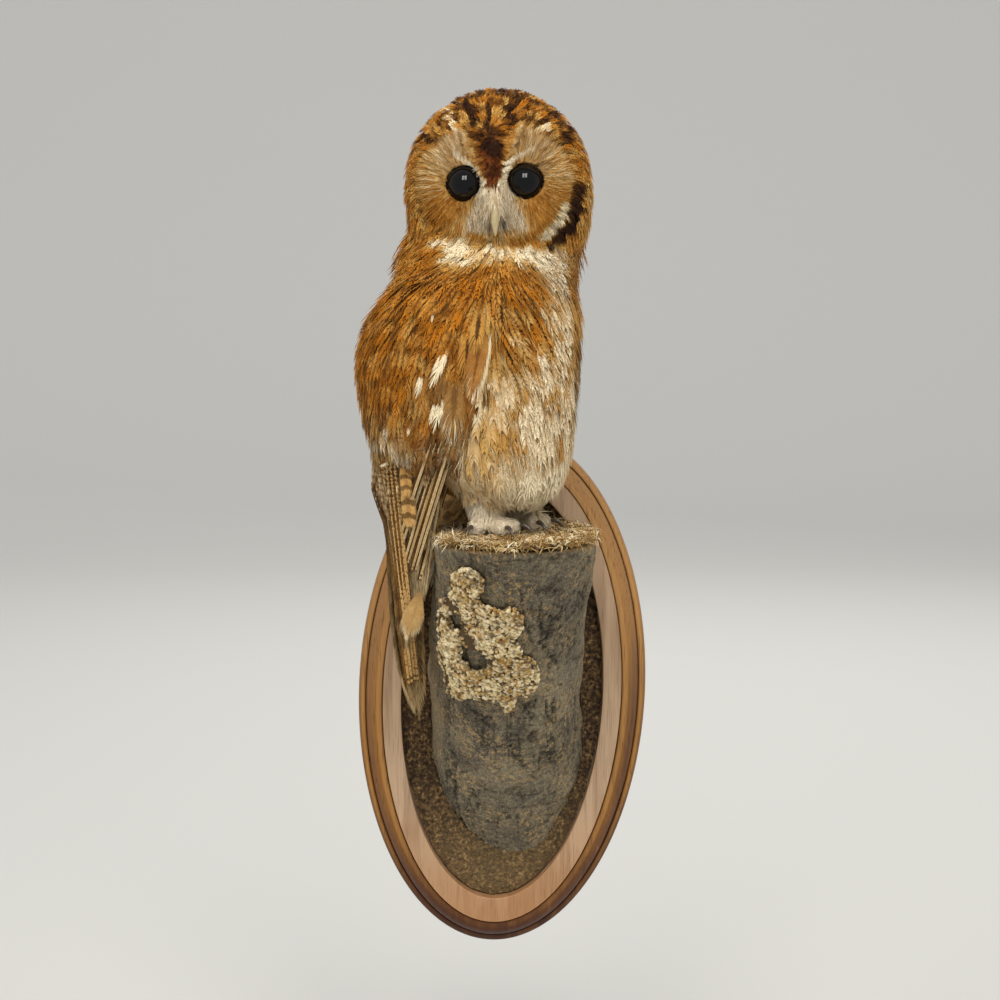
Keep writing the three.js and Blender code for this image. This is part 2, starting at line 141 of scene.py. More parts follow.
def mergedCopy(name, nodeName):  # a welded copy of a CAD node's surface
    weld = lambda bm: bmesh.ops.remove_doubles(bm, verts=bm.verts, dist=1e-5)
    mesh = reworked(bpy.data.meshes.new(name), weld, nodes[nodeName].data)
    mesh.materials.clear()
    return linkObject(name, mesh)


def facedOut(obj):
    reworked(obj.data, lambda bm: bmesh.ops.recalc_face_normals(bm, faces=bm.faces))
    return obj


def ringFaces(count, rings, closed=False):  # triangles between rings of that many points
    i = np.arange(count)
    j = (i + 1) % count
    faces = []
    for r in range(rings if closed else rings - 1):
        a, b = r * count, (r + 1) % rings * count
        faces += [np.c_[a + i, a + j, b + j], np.c_[a + i, b + j, b + i]]
    return faces


def joined(base, *others):
    bpy.ops.object.select_all(action="DESELECT")
    for obj in (base,) + others:
        obj.select_set(True)
    bpy.context.view_layer.objects.active = base
    bpy.ops.object.join()
    return base


def modified(obj, kind, **settings):  # the object's mesh changed by one modifier, which doesn't stay
    modifier = obj.modifiers.new("change", kind)
    for key, value in settings.items():
        setattr(modifier, key, value)
    return applied(obj)


def applied(obj):
    graph = bpy.context.evaluated_depsgraph_get()
    mesh = bpy.data.meshes.new_from_object(obj.evaluated_get(graph))
    obj.modifiers.clear()
    obj.data = mesh
    return obj


def remeshed(obj, voxel):
    return modified(obj, "REMESH", mode="VOXEL", voxel_size=voxel, use_smooth_shade=True)


def subdivided(obj, levels):
    modified(obj, "SUBSURF", levels=levels, render_levels=levels).data.shade_smooth()
    return obj


def edgesOf(mesh):
    return readFrom(mesh.edges, "vertices", 2, np.int32)


def relaxed(values, edges, rounds, keep=0.0):  # each vertex's value drawn to its neighbours'
    count = np.maximum(np.bincount(edges.ravel(), minlength=len(values)), 1).astype(float)
    count = count.reshape((-1,) + (1,) * (values.ndim - 1))
    for _ in range(rounds):
        total = np.zeros_like(values)
        np.add.at(total, edges[:, 0], values[edges[:, 1]])
        np.add.at(total, edges[:, 1], values[edges[:, 0]])
        values = keep * values + (1 - keep) * total / count
    return values


def keepLargest(obj):  # drops every loose part but the one with most vertices
    edges = edgesOf(obj.data)
    label = np.arange(len(obj.data.vertices))
    before = None
    while before is None or (label != before).any():
        before = label.copy()
        low = np.minimum(label[edges[:, 0]], label[edges[:, 1]])
        np.minimum.at(label, edges[:, 0], low)
        np.minimum.at(label, edges[:, 1], low)
        label = label[label]
    loose = np.nonzero(label != np.bincount(label).argmax())[0]

    def dropLoose(bm):
        bm.verts.ensure_lookup_table()
        bmesh.ops.delete(bm, geom=[bm.verts[i] for i in loose], context="VERTS")

    reworked(obj.data, dropLoose)


def treeOf(*meshes):  # for nearest points and rays on one or more meshes
    points, faces = [], []
    for mesh in meshes:
        total = len(points)
        points += pointsOf(mesh).tolist()
        faces += [[v + total for v in p.vertices] for p in mesh.polygons]
    return BVHTree.FromPolygons(points, faces)


def nearest(tree, points):  # nearest place, its normal, face and distance, for each point
    found = [tree.find_nearest(Vector(p)) for p in points]
    return tuple(np.array([f[k] for f in found]) for k in range(4))


def finished(obj, material, slot, *replacedNodes):
    obj.data.materials.clear()
    obj.data.materials.append(material)
    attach(obj, "root")
    if replacedNodes:
        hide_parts(*replacedNodes)
    print("made", obj.name, sum(p.loop_total - 2 for p in obj.data.polygons), "triangles")
    return obj


class Wire:  # a node socket that can be added, multiplied and so on; it grows the tree
    def __init__(self, tree, socket=None):
        self.tree = tree
        self.socket = socket

    def node(self, kind, settings=None, values=None, out=0):
        made = self.tree.nodes.new(kind)
        for key, value in (settings or {}).items():
            if key != "stops":
                setattr(made, key, value)
                continue
            while len(made.color_ramp.elements) < len(value):
                made.color_ramp.elements.new(0.5)
            for element, (place, tint) in zip(made.color_ramp.elements, value):
                element.position = place
                element.color = colour(tint)
        for key, value in (values or {}).items():
            if isinstance(value, Wire):
                self.tree.links.new(value.socket, made.inputs[key])
            elif isinstance(value, str):
                made.inputs[key].default_value = colour(value)
            else:
                made.inputs[key].default_value = value
        return Wire(self.tree, made.outputs[out])

    def place(self):
        return self.node("ShaderNodeTexCoord", out=3)

    def field(self, name, out=2):
        return self.node("ShaderNodeAttribute", {"attribute_name": name}, out=out)

    def other(self, out):  # another output of the same node
        return Wire(self.tree, self.socket.node.outputs[out])

    def axis(self, out):
        return self.node("ShaderNodeSeparateXYZ", {}, {0: self}, out)

    def maths(self, operation, *others):
        return self.node("ShaderNodeMath", {"operation": operation}, dict(enumerate((self,) + others)))

    def __add__(self, other):
        return self.maths("ADD", other)

    def __sub__(self, other):
        return self.maths("SUBTRACT", other)

    def __mul__(self, other):
        return self.maths("MULTIPLY", other)

    def __truediv__(self, other):
        return self.maths("DIVIDE", other)

    def __rsub__(self, other):
        return self.node("ShaderNodeMath", {"operation": "SUBTRACT"}, {0: other, 1: self})

    def __abs__(self):
        return self.maths("ABSOLUTE")

    __radd__ = __add__
    __rmul__ = __mul__

    def step(self, low, high):  # 0 below low to 1 above high, eased
        return self.node("ShaderNodeMapRange", {"interpolation_type": "SMOOTHSTEP"},
                         {"Value": self, "From Min": low, "From Max": high})

    def blend(self, first, second, way="MIX"):  # self is the share of the second colour
        return self.node("ShaderNodeMix", {"data_type": "RGBA", "blend_type": way},
                         {0: self, 6: first, 7: second}, out=2)

    def ramped(self, *stops):  # a colour for each place given on the ramp
        return self.node("ShaderNodeValToRGB", {"stops": stops}, {0: self})

    def stretched(self, x, y, z):
        return self.node("ShaderNodeVectorMath", {"operation": "MULTIPLY"}, {0: self, 1: (x, y, z)})

    def noise(self, scale, detail=3.0, rough=0.55, twist=0.0):
        return self.node("ShaderNodeTexNoise", {}, {"Vector": self, "Scale": scale, "Detail": detail,
                                                    "Roughness": rough, "Distortion": twist})

    def bumped(self, strength, distance):
        return self.node("ShaderNodeBump", {}, {"Height": self, "Strength": strength, "Distance": distance})


def colour(text):  # a screen colour such as "a5672a" as linear light
    parts = [int(text[i:i + 2], 16) / 255 for i in (0, 2, 4)]
    return tuple(((c + 0.055) / 1.055) ** 2.4 if c > 0.04045 else c / 12.92 for c in parts) + (1.0,)


def newMaterial(name, constants):  # the material, its first wire and its shader node
    material = bpy.data.materials.new(name)
    material.use_nodes = True
    tree = material.node_tree
    shader = next(n for n in tree.nodes if n.type == "BSDF_PRINCIPLED")
    for key, value in constants.items():
        shader.inputs[key].default_value = value
    return material, Wire(tree), shader


def connect(shader, **wires):  # BaseColor=wire, Roughness=wire, Normal=wire
    for key, wire in wires.items():
        wire.tree.links.new(wire.socket, shader.inputs["Base Color" if key == "BaseColor" else key])


stageSizes = {
    "cameraPlace": (-0.00133, -1.600, 0.32417),
    "cameraDown": 7.0,  # degrees below level
    "lens": 86.616,
    "floorHeight": -0.34,
    "floorReach": 5.0,
    "backRise": 2.2,
    "roomLight": 0.62,
}
# name, place, target, size, power: two window-like panes give the eyes their catch-lights
stageLights = [
    ("window_left", (-0.41, -1.75, 2.05), (0.0, -0.1, 0.25), (0.62, 1.20), 25.0),
    ("window_right", (0.43, -1.75, 2.05), (0.0, -0.1, 0.25), (0.62, 1.20), 25.0),
    ("soft_left", (-1.9, -1.5, 1.3), (0.0, -0.1, 0.1), (1.3, 1.3), 18.0),
    ("soft_right", (2.1, -1.1, 1.1), (0.0, -0.1, 0.1), (1.1, 1.1), 12.0),
    ("top", (0.0, -0.2, 2.4), (0.0, -0.1, 0.2), (1.4, 1.4), 16.0),
    ("behind", (0.4, 2.2, 1.5), (0.0, -0.1, 0.2), (1.6, 1.2), 20.0),
]


def makeFloor():  # it runs back and curves up, far behind the plaque
    reach, rise = stageSizes["floorReach"], stageSizes["backRise"]
    turns = np.linspace(0.1, math.pi / 2, 16)
    curve = [(reach - rise + rise * math.sin(a), rise - rise * math.cos(a)) for a in turns]
    profile = [(-reach, 0.0), (reach - rise, 0.0)] + curve + [(reach, 5.0)]
    points = np.array([(x, y, stageSizes["floorHeight"] + z) for y, z in profile for x in (-reach, reach)])
    faces = [f for i in range(0, len(points) - 2, 2) for f in ((i, i + 1, i + 3), (i, i + 3, i + 2))]
    floor = meshObject("floor", points, np.array(faces), smooth=True)
    material, wire, shader = newMaterial("pale floor", {"Base Color": colour("c9c8c4"), "Roughness": 0.85})
    evened = wire.place().axis(1).step(-1.0, 4.5)  # evens out the light
    connect(shader, BaseColor=evened.blend("c0bfba", "e8e7e2"))
    floor.data.materials.append(material)
    floor.visible_glossy = False  # so that the eyes stay black


def makeStage():
    scene = bpy.context.scene
    data = bpy.data.cameras.new("camera")
    data.lens = stageSizes["lens"]
    data.sensor_width = 36.0
    data.clip_start, data.clip_end = 0.05, 60.0
    camera = linkObject("camera", data)
    camera.location = stageSizes["cameraPlace"]
    camera.rotation_euler = (math.radians(90 - stageSizes["cameraDown"]), 0, 0)
    scene.camera = camera
    makeFloor()
    world = bpy.data.worlds.new("pale room")
    world.use_nodes = True
    background = next(n for n in world.node_tree.nodes if n.type == "BACKGROUND")
    background.inputs["Color"].default_value = colour("dfe0e2")
    background.inputs["Strength"].default_value = stageSizes["roomLight"]
    scene.world = world
    for name, place, target, size, power in stageLights:
        lamp = bpy.data.lights.new(name, "AREA")
        lamp.shape = "RECTANGLE"
        lamp.size, lamp.size_y = size
        lamp.energy = power
        lamp.color = (1.0, 0.985, 0.96)
        obj = linkObject(name, lamp)
        obj.location = place
        obj.rotation_euler = (Vector(target) - Vector(place)).to_track_quat("-Z", "Y").to_euler()
        obj.visible_glossy = name.startswith("window")
    scene.view_settings.view_transform = "Standard"
    scene.view_settings.look = "None"


makeStage()
print("stage ready")

plaqueSizes = {
    "halfWidth": 96.3,  # millimetres, as are the rest but the tilt and the count
    "halfHeight": 173.7,
    "wellHalfWidth": 67.3,
    "wellHalfHeight": 140.5,
    "wellFloor": 10,
    "tilt": math.radians(2.6),
    "around": 240,
}
# inset from the outer edge and distance from the wall, in millimetres, with the steps to the next
mouldingProfile = [
    (1.2, 0, 1), (0, 1.2, 3), (0, 7, 2), (0.7, 9.4, 2), (2.4, 10.8, 2), (4.4, 11, 2), (5.1, 10.3, 1),
    (5.6, 13.2, 3), (7.2, 17, 3), (9.8, 19.8, 3), (13, 21.2, 3), (16, 21.5, 1), (16.6, 20.9, 1), (17, 22, 2),
]
# crest rows of the moulding are painted lighter: some wear, and a painted highlight where the satin sheen would
# catch
wornAndHighlitEdges = {3: 0.25, 4: 1.0, 9: 0.25, 10: 1.0}  # by row of the profile
# rows of the profile whose grooves are painted dark as shade
shadedGrooves = (6, 12)


def walnutMaterial():
    material, wire, shader = newMaterial("oiled walnut", {
        "Coat Weight": 0.30, "Coat Roughness": 0.16, "Roughness": 0.42, "Specular IOR Level": 0.3})
    place = wire.place()
    band = wire.field("band")
    wander = place.noise(9.0, 2.0, 0.5)
    growth = place.stretched(70, 30, 5.5).noise(1.0, 3.0, 0.55, 1.1) + wander * 0.55
    rings = (growth * 17.0).maths("SINE") * 0.5 + 0.5
    fibre = place.stretched(900, 500, 26).noise(1.0, 3.0, 0.65)
    pores = place.stretched(1500, 900, 45).noise(1.0, 1.0, 0.5).step(0.60, 0.70)
    warm = (rings * 0.55 + fibre * 0.45).blend("6a3a0a", "b27629")
    streaky = (growth.step(0.50, 0.90) * 0.65).blend(warm, "3d1c04")
    pale = (rings * 0.45 + fibre * 0.55).blend("8e6f52", "c6a888")
    wood = band.blend(streaky, pale)
    # painted highlight and wear: the crests of the moulding are lighter
    wood = (wire.field("edge") * (0.3 + fibre * 0.5)).blend(wood, "b98644")
    height = place.axis(2)
    lowDown = 1 - height.step(-0.165, -0.06)
    wood = (lowDown * (0.55 + growth.step(0.45, 0.85) * 0.40) * (1 - band)).blend(wood, "4a2100")
    wood = (lowDown * 0.65 * band).blend(wood, "a06a34")
    # painted sheen: the upper part of the moulding is lighter, as if lit from above
    wood = (height.step(-0.06, 0.10) * 0.35 * (1 - band)).blend(wood, "c79a62")
    # painted shade in the grooves of the moulding
    wood = (wire.field("groove") * 0.85).blend(wood, "2b1304")
    wood = (pores * (0.5 - band * 0.25)).blend(wood, "3a1d0c")
    connect(shader, BaseColor=wood, Roughness=0.36 + fibre * 0.16 + pores * 0.2 + band * 0.12,
            Normal=(fibre * 0.6 - pores * 0.8 + rings * 0.15).bumped(0.35, 0.0004))
    return material


def makePlaque():
    size = plaqueSizes
    outer = np.array((size["halfWidth"], size["halfHeight"]))
    band = outer - mouldingProfile[-1][0]
    inner = np.array((size["wellHalfWidth"], size["wellHalfHeight"]))
    rings = []  # half width, half height, distance from the wall, band, edge (wear and painted highlight), groove (painted shade)
    for index, (inset, out, steps) in enumerate(mouldingProfile[:-1]):
        nextInset, nextOut, _ = mouldingProfile[index + 1]
        for share in np.arange(steps) / steps:
            rings.append((*(outer - mixed(inset, nextInset, share)), mixed(out, nextOut, share), 0,
                          wornAndHighlitEdges.get(index, 0), index in shadedGrooves))
    rings.append((*band, 22, 1, 0.6, 0))
    rings += [(*mixed(band, inner, share), 22, 1, 0, 0) for share in (0.06, 0.3, 0.6, 0.9)]
    rings.append((*mixed(band, inner, 0.97), 21.88, 1, 0, 0))
    rings += [(*inner, out, 1, edge, 0) for out, edge in ((21.6, 0.8), (20.9, 0.2), (16, 0), (10.4, 0))]
    rings += [(*(inner * share), size["wellFloor"], 1, 0, 0) for share in (0.98, 0.5)]
    rings = np.array(rings, float)
    count = size["around"]
    angles = np.linspace(0, 2 * np.pi, count, endpoint=False)
    turnC, turnS = math.cos(size["tilt"]), math.sin(size["tilt"])
    points = []
    for halfWidth, halfHeight, out in rings[:, :3]:
        x, z = halfWidth * np.cos(angles), halfHeight * np.sin(angles)
        points.append(np.c_[x * turnC + z * turnS, np.full(count, -out), z * turnC - x * turnS])
    points = np.vstack(points + [[[0, 0, 0]], [[0, -size["wellFloor"], 0]]]) * mm
    i = np.arange(count)
    last = (len(rings) - 1) * count
    faces = ringFaces(count, len(rings))
    faces += [np.c_[np.full(count, len(points) - 2), (i + 1) % count, i],
              np.c_[np.full(count, len(points) - 1), last + i, last + (i + 1) % count]]
    each = np.append(np.repeat(np.arange(len(rings)), count), (0, len(rings) - 1))
    fields = {name: rings[each, 3 + k] for k, name in enumerate(("band", "edge", "groove"))}
    obj = facedOut(meshObject("plaque_wood", points, np.vstack(faces), True, fields))
    obj.data.set_sharp_from_angle(angle=math.radians(38))
    return finished(obj, walnutMaterial(), "walnut", "plaque")


makePlaque()


def scatterTree(name, material):  # lumps spread over all the faces, as a plain mesh
    tree = bpy.data.node_groups.new(name, "GeometryNodeTree")

    def socket(label, kind, start=None, way="INPUT"):
        made = tree.interface.new_socket(label, in_out=way, socket_type="NodeSocket" + kind)
        if start is not None:
            made.default_value = start

    socket("Geometry", "Geometry")
    for label, start in (("Density", 1000.0), ("Smallest", 0.001), ("Largest", 0.002), ("Flatness", 0.7),
                         ("Lift", 0.0), ("Ruggedness", 0.3)):
        socket(label, "Float", start)
    socket("Seed", "Int", 1)
    socket("Geometry", "Geometry", way="OUTPUT")

    def add(kind, links=None, **settings):
        node = tree.nodes.new(kind)
        for key, value in settings.items():
            setattr(node, key, value)
        for key, value in (links or {}).items():
            if isinstance(value, bpy.types.NodeSocket):
                tree.links.new(value, node.inputs[key])
            else:
                node.inputs[key].default_value = value
        return node.outputs

    def chance(low, high, seed):
        return add("FunctionNodeRandomValue", {2: low, 3: high, "Seed": seed}, data_type="FLOAT")[1]

    def times(first, second):
        return add("ShaderNodeMath", {0: first, 1: second}, operation="MULTIPLY")[0]

    given = add("NodeGroupInput")
    spread = add("GeometryNodeDistributePointsOnFaces", {key: given[key2] for key, key2 in (
        ("Mesh", "Geometry"), ("Density", "Density"), ("Seed", "Seed"))}, distribute_method="RANDOM")
    lump = add("GeometryNodeMeshUVSphere", {"Radius": 1.0, "Segments": 6, "Rings": 4})
    size = chance(given["Smallest"], given["Largest"], given["Seed"])
    scale = add("ShaderNodeCombineXYZ", {0: size, 1: times(size, chance(0.65, 1.15, 7)),
                                         2: times(size, given["Flatness"])})
    turn = add("ShaderNodeCombineXYZ", {0: chance(-0.7, 0.7, 13), 2: chance(0.0, 6.283, 11)})
    facing = add("FunctionNodeRotateRotation", {0: spread["Rotation"], 1: turn[0]}, rotation_space="LOCAL")
    placed = add("GeometryNodeInstanceOnPoints", {
        "Points": spread["Points"], "Instance": lump["Mesh"], "Rotation": facing[0], "Scale": scale[0]})
    up = add("ShaderNodeCombineXYZ", {2: given["Lift"]})
    lifted = add("GeometryNodeTranslateInstances", {"Instances": placed[0], "Translation": up[0]})
    real = add("GeometryNodeRealizeInstances", {0: lifted[0]})
    where = add("GeometryNodeInputPosition")
    rough = add("ShaderNodeTexNoise", {"Vector": where[0], "Scale": 900.0, "Detail": 1.0})
    centred = add("ShaderNodeVectorMath", {0: rough["Color"], 1: (0.5, 0.5, 0.5)}, operation="SUBTRACT")
    push = add("ShaderNodeVectorMath", {0: centred[0], "Scale": times(given["Ruggedness"], given["Largest"])},
               operation="SCALE")
    moved = add("GeometryNodeSetPosition", {"Geometry": real[0], "Offset": push[0]})
    dressed = add("GeometryNodeSetMaterial", {"Geometry": moved[0], "Material": material})
    add("NodeGroupOutput", {0: dressed[0]})
    return tree


def scattered(obj, tree, **values):
    modifier = obj.modifiers.new("scatter", "NODES")
    modifier.node_group = tree
    for item in tree.interface.items_tree:
        if item.in_out == "INPUT" and item.name in values:
            modifier[item.identifier] = values[item.name]
    return applied(obj)


def facesKept(obj, keep):  # a copy with only the faces whose middle and normal pass
    def dropOthers(bm):
        others = [f for f in bm.faces if not keep(f.calc_center_median(), f.normal)]
        bmesh.ops.delete(bm, geom=others, context="FACES")

    name = obj.name + "_kept"
    return linkObject(name, reworked(bpy.data.meshes.new(name), dropOthers, obj.data))


mulchSizes = {"relief": 0.9 * mm}
mulchCrumbs = {"Density": 190000.0, "Smallest": 0.5 * mm, "Largest": 1.25 * mm, "Flatness": 0.75,
               "Lift": 0.0002, "Ruggedness": 0.9, "Seed": 5}


def mulchMaterial():
    material, wire, shader = newMaterial("bark crumbs", {"Roughness": 0.93})
    place = wire.place()
    grain = place.noise(420.0, 2.0, 0.6)
    tone = grain.ramped((0.30, "1c120a"), (0.46, "46321d"), (0.62, "755a35"), (0.78, "b3986a"))
    tone = (place.noise(60.0, 3.0, 0.6).step(0.35, 0.75) * 0.45).blend(tone, "2a1d10")
    tone = ((1 - place.axis(2).step(-0.14, -0.05)) * 0.22).blend(tone, "a58a5c")
    connect(shader, BaseColor=tone, Normal=place.noise(1500.0, 2.0, 0.6).bumped(0.5, 0.0004))
    return material


def makeMulch():
    def divide(bm):
        bmesh.ops.triangulate(bm, faces=bm.faces)
        bmesh.ops.subdivide_edges(bm, edges=bm.edges, cuts=3, use_grid_fill=True)

    material = mulchMaterial()
    ground = mergedCopy("mulch", "ground")
    points = pointsOf(reworked(ground.data, divide))
    front = points[:, 1] < -11.5 * mm
    rise = lumps(points, 4 * mm, 3) + 0.5 * lumps(points, 1.7 * mm, 4) - 0.2
    points[:, 1] += front * rise * mulchSizes["relief"]
    setPoints(ground.data, points)
    top = facesKept(ground, lambda middle, normal: normal.y < -0.5 and middle.y < -10.5 * mm)
    scattered(top, scatterTree("crumbs", material), **mulchCrumbs)
    return finished(joined(ground, top), material, "mulch", "ground")


makeMulch()

logSizes = {
    "top": np.array((8, -111, 116.5)) * mm,
    "lean": math.radians(35.7),
    "radius": 50 * mm,
    "voxel": 1.25 * mm,
    "crackDepth": 1.7 * mm,
    "plateRise": 0.8 * mm,
    "swelling": 2.2 * mm,
}
logDown = np.array((0, math.sin(logSizes["lean"]), -math.cos(logSizes["lean"])))
logFront = np.array((0, -math.cos(logSizes["lean"]), -math.sin(logSizes["lean"])))


def barkMaterial():
    material, wire, shader = newMaterial("old bark", {"Roughness": 0.93})
    place = wire.place()
    fine = place.noise(330.0, 4.0, 0.65)
    streaks = place.stretched(420, 300, 60).noise(1.0, 3.0, 0.6)
    base = place.noise(28.0, 5.0, 0.62) * 0.48 + fine * 0.42 + streaks * 0.10
    base = base.ramped((0.36, "3a3224"), (0.45, "62594a"), (0.54, "82775f"), (0.64, "a8997a"))
    base = (wire.field("tanSide") * (0.35 + fine * 0.5)).blend(base, "8f7b58")
    flecks = place.noise(300.0, 3.0, 0.75).step(0.51, 0.60) * place.noise(36.0, 2.0, 0.5).step(0.40, 0.56)
    base = (flecks * 0.85).blend(base, "ab8e5f")
    rust = place.noise(33.0, 3.0, 0.6, 0.6).step(0.66, 0.76) * fine.step(0.42, 0.6)
    base = (rust * 0.75).blend(base, "8a4d2a")
    grit = place.noise(1150.0, 2.0, 0.6)
    base = ((1 - grit.step(0.36, 0.52)) * 0.55).blend(base, "2b241a")
    base = (grit.step(0.56, 0.68) * 0.40).blend(base, "b8a684")
    base = (wire.field("crack") * 0.85).blend(base, "1c160f")
    wood = streaks.blend("8a6a44", "b59769")
    relief = fine * 0.9 + streaks * 0.5 + place.noise(900.0, 3.0, 0.7) * 0.5
    connect(shader, BaseColor=wire.field("cutWood").blend(base, wood), Normal=relief.bumped(0.9, 0.0012))
    return material


def makeLog():
    size = logSizes
    log = remeshed(mergedCopy("log_bark", "log"), size["voxel"])
    mesh = log.data
    edges = edgesOf(mesh)
    points = relaxed(pointsOf(mesh), edges, 5)
    setPoints(mesh, points)
    normals = normalsOf(mesh)
    # distance down the log, the angle round it with 0 at its front, and its surface laid out flat
    away = points - size["top"]
    down = away @ logDown
    angle = np.arctan2(away[:, 0], away @ logFront)
    wrap = np.c_[np.cos(angle) * size["radius"], np.sin(angle) * size["radius"], down]
    isCut = np.maximum(np.abs(normals @ logDown) > 0.75, normals[:, 2] > 0.8)
    bark = relaxed(1.0 - isCut, edges, 3)

    def grain(places, stretch, lump, seed):
        return lumps(places / np.array(stretch), lump * mm, seed)

    # long cracks that wander down the bark, and short ones across it
    bent = wrap + 5 * mm * np.c_[lumps(wrap, 26 * mm, 1) - 0.5, lumps(wrap, 26 * mm, 2) - 0.5, 0 * down]
    long1 = np.abs(grain(bent, (1, 1, 7), 6.2, 5) - 0.5) * 2
    long2 = np.abs(grain(bent, (1, 1, 3.5), 3.4, 6) - 0.5) * 2
    cross = np.abs(grain(bent, (2.2, 2.2, 1), 8.0, 7) - 0.5) * 2
    patchy = ramp(0.35, 0.65, lumps(wrap, 30 * mm, 8))
    ragged = (lumps(wrap, 1.8 * mm, 14) - 0.5) * 0.22
    crack = 0.75 * ramp(0.10, 0.01, long1 + ragged) * ramp(0.35, 0.7, patchy)
    crack = crack + 0.6 * ramp(0.13, 0.03, long2 + ragged) * patchy
    crack = crack + 0.5 * ramp(0.10, 0.02, cross + ragged) * (1 - patchy)
    crack = np.clip(crack, 0, 1) * bark
    plates = (0.8 * grain(wrap, (1, 1, 1.8), 9, 9) + 0.6 * lumps(wrap, 3.2 * mm, 10)
              + 0.5 * grain(wrap, (1, 1, 1.5), 1.9, 11))
    lift = size["plateRise"] * (plates - 0.95) * (0.3 + 0.7 * bark) - size["crackDepth"] * crack
    lift = lift + size["swelling"] * (lumps(wrap, 17 * mm, 15) - 0.5) * bark
    setPoints(mesh, points + normals * lift[:, None])
    tanSide = ramp(-0.9, -1.35, angle) * ramp(0.12, 0.0, np.abs(down - 0.13)) + 0.25 * ramp(0.7, 1.4, angle)
    setAttribute(mesh, "crack", np.clip(crack + 0.25 * ramp(0.7, 0.35, plates), 0, 1))
    setAttribute(mesh, "cutWood", np.clip(1 - bark, 0, 1) * 0.9)
    setAttribute(mesh, "tanSide", tanSide)
    mesh.shade_smooth()
    return finished(log, barkMaterial(), "bark", "log")


makeLog()

# each finish: material name, warm and pale colours, and a deep colour painted as shade between the nodules
lichenPieces = {
    "lichen_crust": {
        "node": "lichen_patch", "finish": ("popcorn lichen", "b8924f", "e4cf9c", "55422a"),
        "inset": 2.2 * mm, "seed": 21,
        "scatter": {"Density": 600000.0, "Smallest": 0.85 * mm, "Largest": 2.0 * mm},
        "gap": [(-34, 83), (-31.7, 78), (-25.5, 62.3), (-17.5, 46.8), (-7, 40.5)],  # bare bark, from the front
    },
    "lichen_rim": {
        "node": "lichen_top", "finish": ("rim lichen", "7d6238", "b39a66", "2f2314"),
        "inset": 1.6 * mm, "seed": 31,
        "scatter": {"Density": 60000.0, "Smallest": 0.8 * mm, "Largest": 1.8 * mm},
        "gap": [(-200, 0), (-200, 1)],  # none
    },
}


def lichenMaterial(name, warm, pale, deep):
    material, wire, shader = newMaterial(name, {"Roughness": 0.95})
    place = wire.place()
    fine = place.noise(700.0, 3.0, 0.65)
    lump = place.noise(330.0, 1.0, 0.5)
    skin = place.noise(70.0, 3.0, 0.6).step(0.38, 0.66).blend(warm, pale)
    skin = (lump.step(0.42, 0.62) * 0.55).blend(skin, "f4e8c8")
    skin = ((1 - lump.step(0.30, 0.46)) * 0.60).blend(skin, "94682c")
    # painted shade: darker where the surface lies low among the nodules
    tone = (1 - (wire.field("relief") + (fine - 0.5) * 0.40).step(0.12, 0.66)).blend(skin, deep)
    tone = (place.noise(240.0, 2.0, 0.5).step(0.52, 0.64) * 0.62).blend(tone, "5a4526")
    connect(shader, BaseColor=tone, Normal=fine.bumped(0.5, 0.0005))
    return material


def offLine(points, line):  # distance across the front from a line of points, in millimetres
    least = np.full(len(points), 1e9)
    flat = points[:, (0, 2)] / mm
    for a, b in zip(np.array(line[:-1], float), np.array(line[1:], float)):
        share = np.clip((flat - a) @ (b - a) / ((b - a) @ (b - a)), 0, 1)[:, None]
        least = np.minimum(least, np.linalg.norm(flat - a - share * (b - a), axis=1))
    return least


def makeLichen(name, kind):
    seed, gap = kind["seed"], kind["gap"]
    material = lichenMaterial(*kind["finish"])
    base = remeshed(mergedCopy(name, kind["node"]), 1.7 * mm)
    points = relaxed(pointsOf(base.data), edgesOf(base.data), 2)
    setPoints(base.data, points)
    depth = kind["inset"] * (0.6 + 0.9 * lumps(points, 5 * mm, seed))
    depth = depth + 1.0 * mm * ramp(3.0, 1.2, offLine(points, gap))
    setPoints(base.data, points - normalsOf(base.data) * depth[:, None])
    surface = treeOf(base.data)
    outward = facesKept(base, lambda middle, normal: (
        normal.y < 0.35 and offLine(np.array([middle]), gap)[0] > 1.9))
    scattered(outward, scatterTree(name + "_nodules", material),
              Flatness=0.9, Lift=0.0005, Ruggedness=0.85, Seed=seed, **kind["scatter"])
    joined(base, outward)
    far = nearest(surface, pointsOf(base.data))[3]
    # height above the base, which the material turns into painted shade low down
    setAttribute(base.data, "relief", np.clip(far / (2.0 * mm), 0, 1))
    base.data.shade_smooth()
    return finished(base, material, "lichen", kind["node"])


for name, kind in lichenPieces.items():
    makeLichen(name, kind)
print("base ready")

owlSizes = {
    "stand": np.array((0, -115, 0)) * mm,
    "heading": math.radians(50),
    "headCentre": np.array((-2.2, -110, 335)) * mm,
    "headYaw": math.radians(-4),
    "headRoll": math.radians(-2.2),
    "eye": (18.2, -30.4, 2.6),  # millimetres from the head's centre; the right eye mirrors it
    "eyeRadius": 10.8,
    "skinVoxel": 2.1 * mm,
    # how deep the skin lies under the tips of the coat
    "depth": {"head": 3.0, "neck": 4.6, "trunk": 5.0, "wing_right": 3.6, "wing_left": 3.6,
              "leg_right": 2.6, "leg_left": 2.6, "foot_right": 1.5, "foot_left": 1.5},
    "faceDepth": 1.9,
    "lidDepth": 0.7,
}
fleshNodes = list(owlSizes["depth"])
eyeX, eyeY, eyeZ = owlSizes["eye"]
sides = (("right", -1), ("left", 1))


def turnZ(angle):
    c, s = math.cos(angle), math.sin(angle)
    return np.array(((c, -s, 0), (s, c, 0), (0, 0, 1)))


def turnY(angle):
    c, s = math.cos(angle), math.sin(angle)
    return np.array(((c, 0, s), (0, 1, 0), (-s, 0, c)))


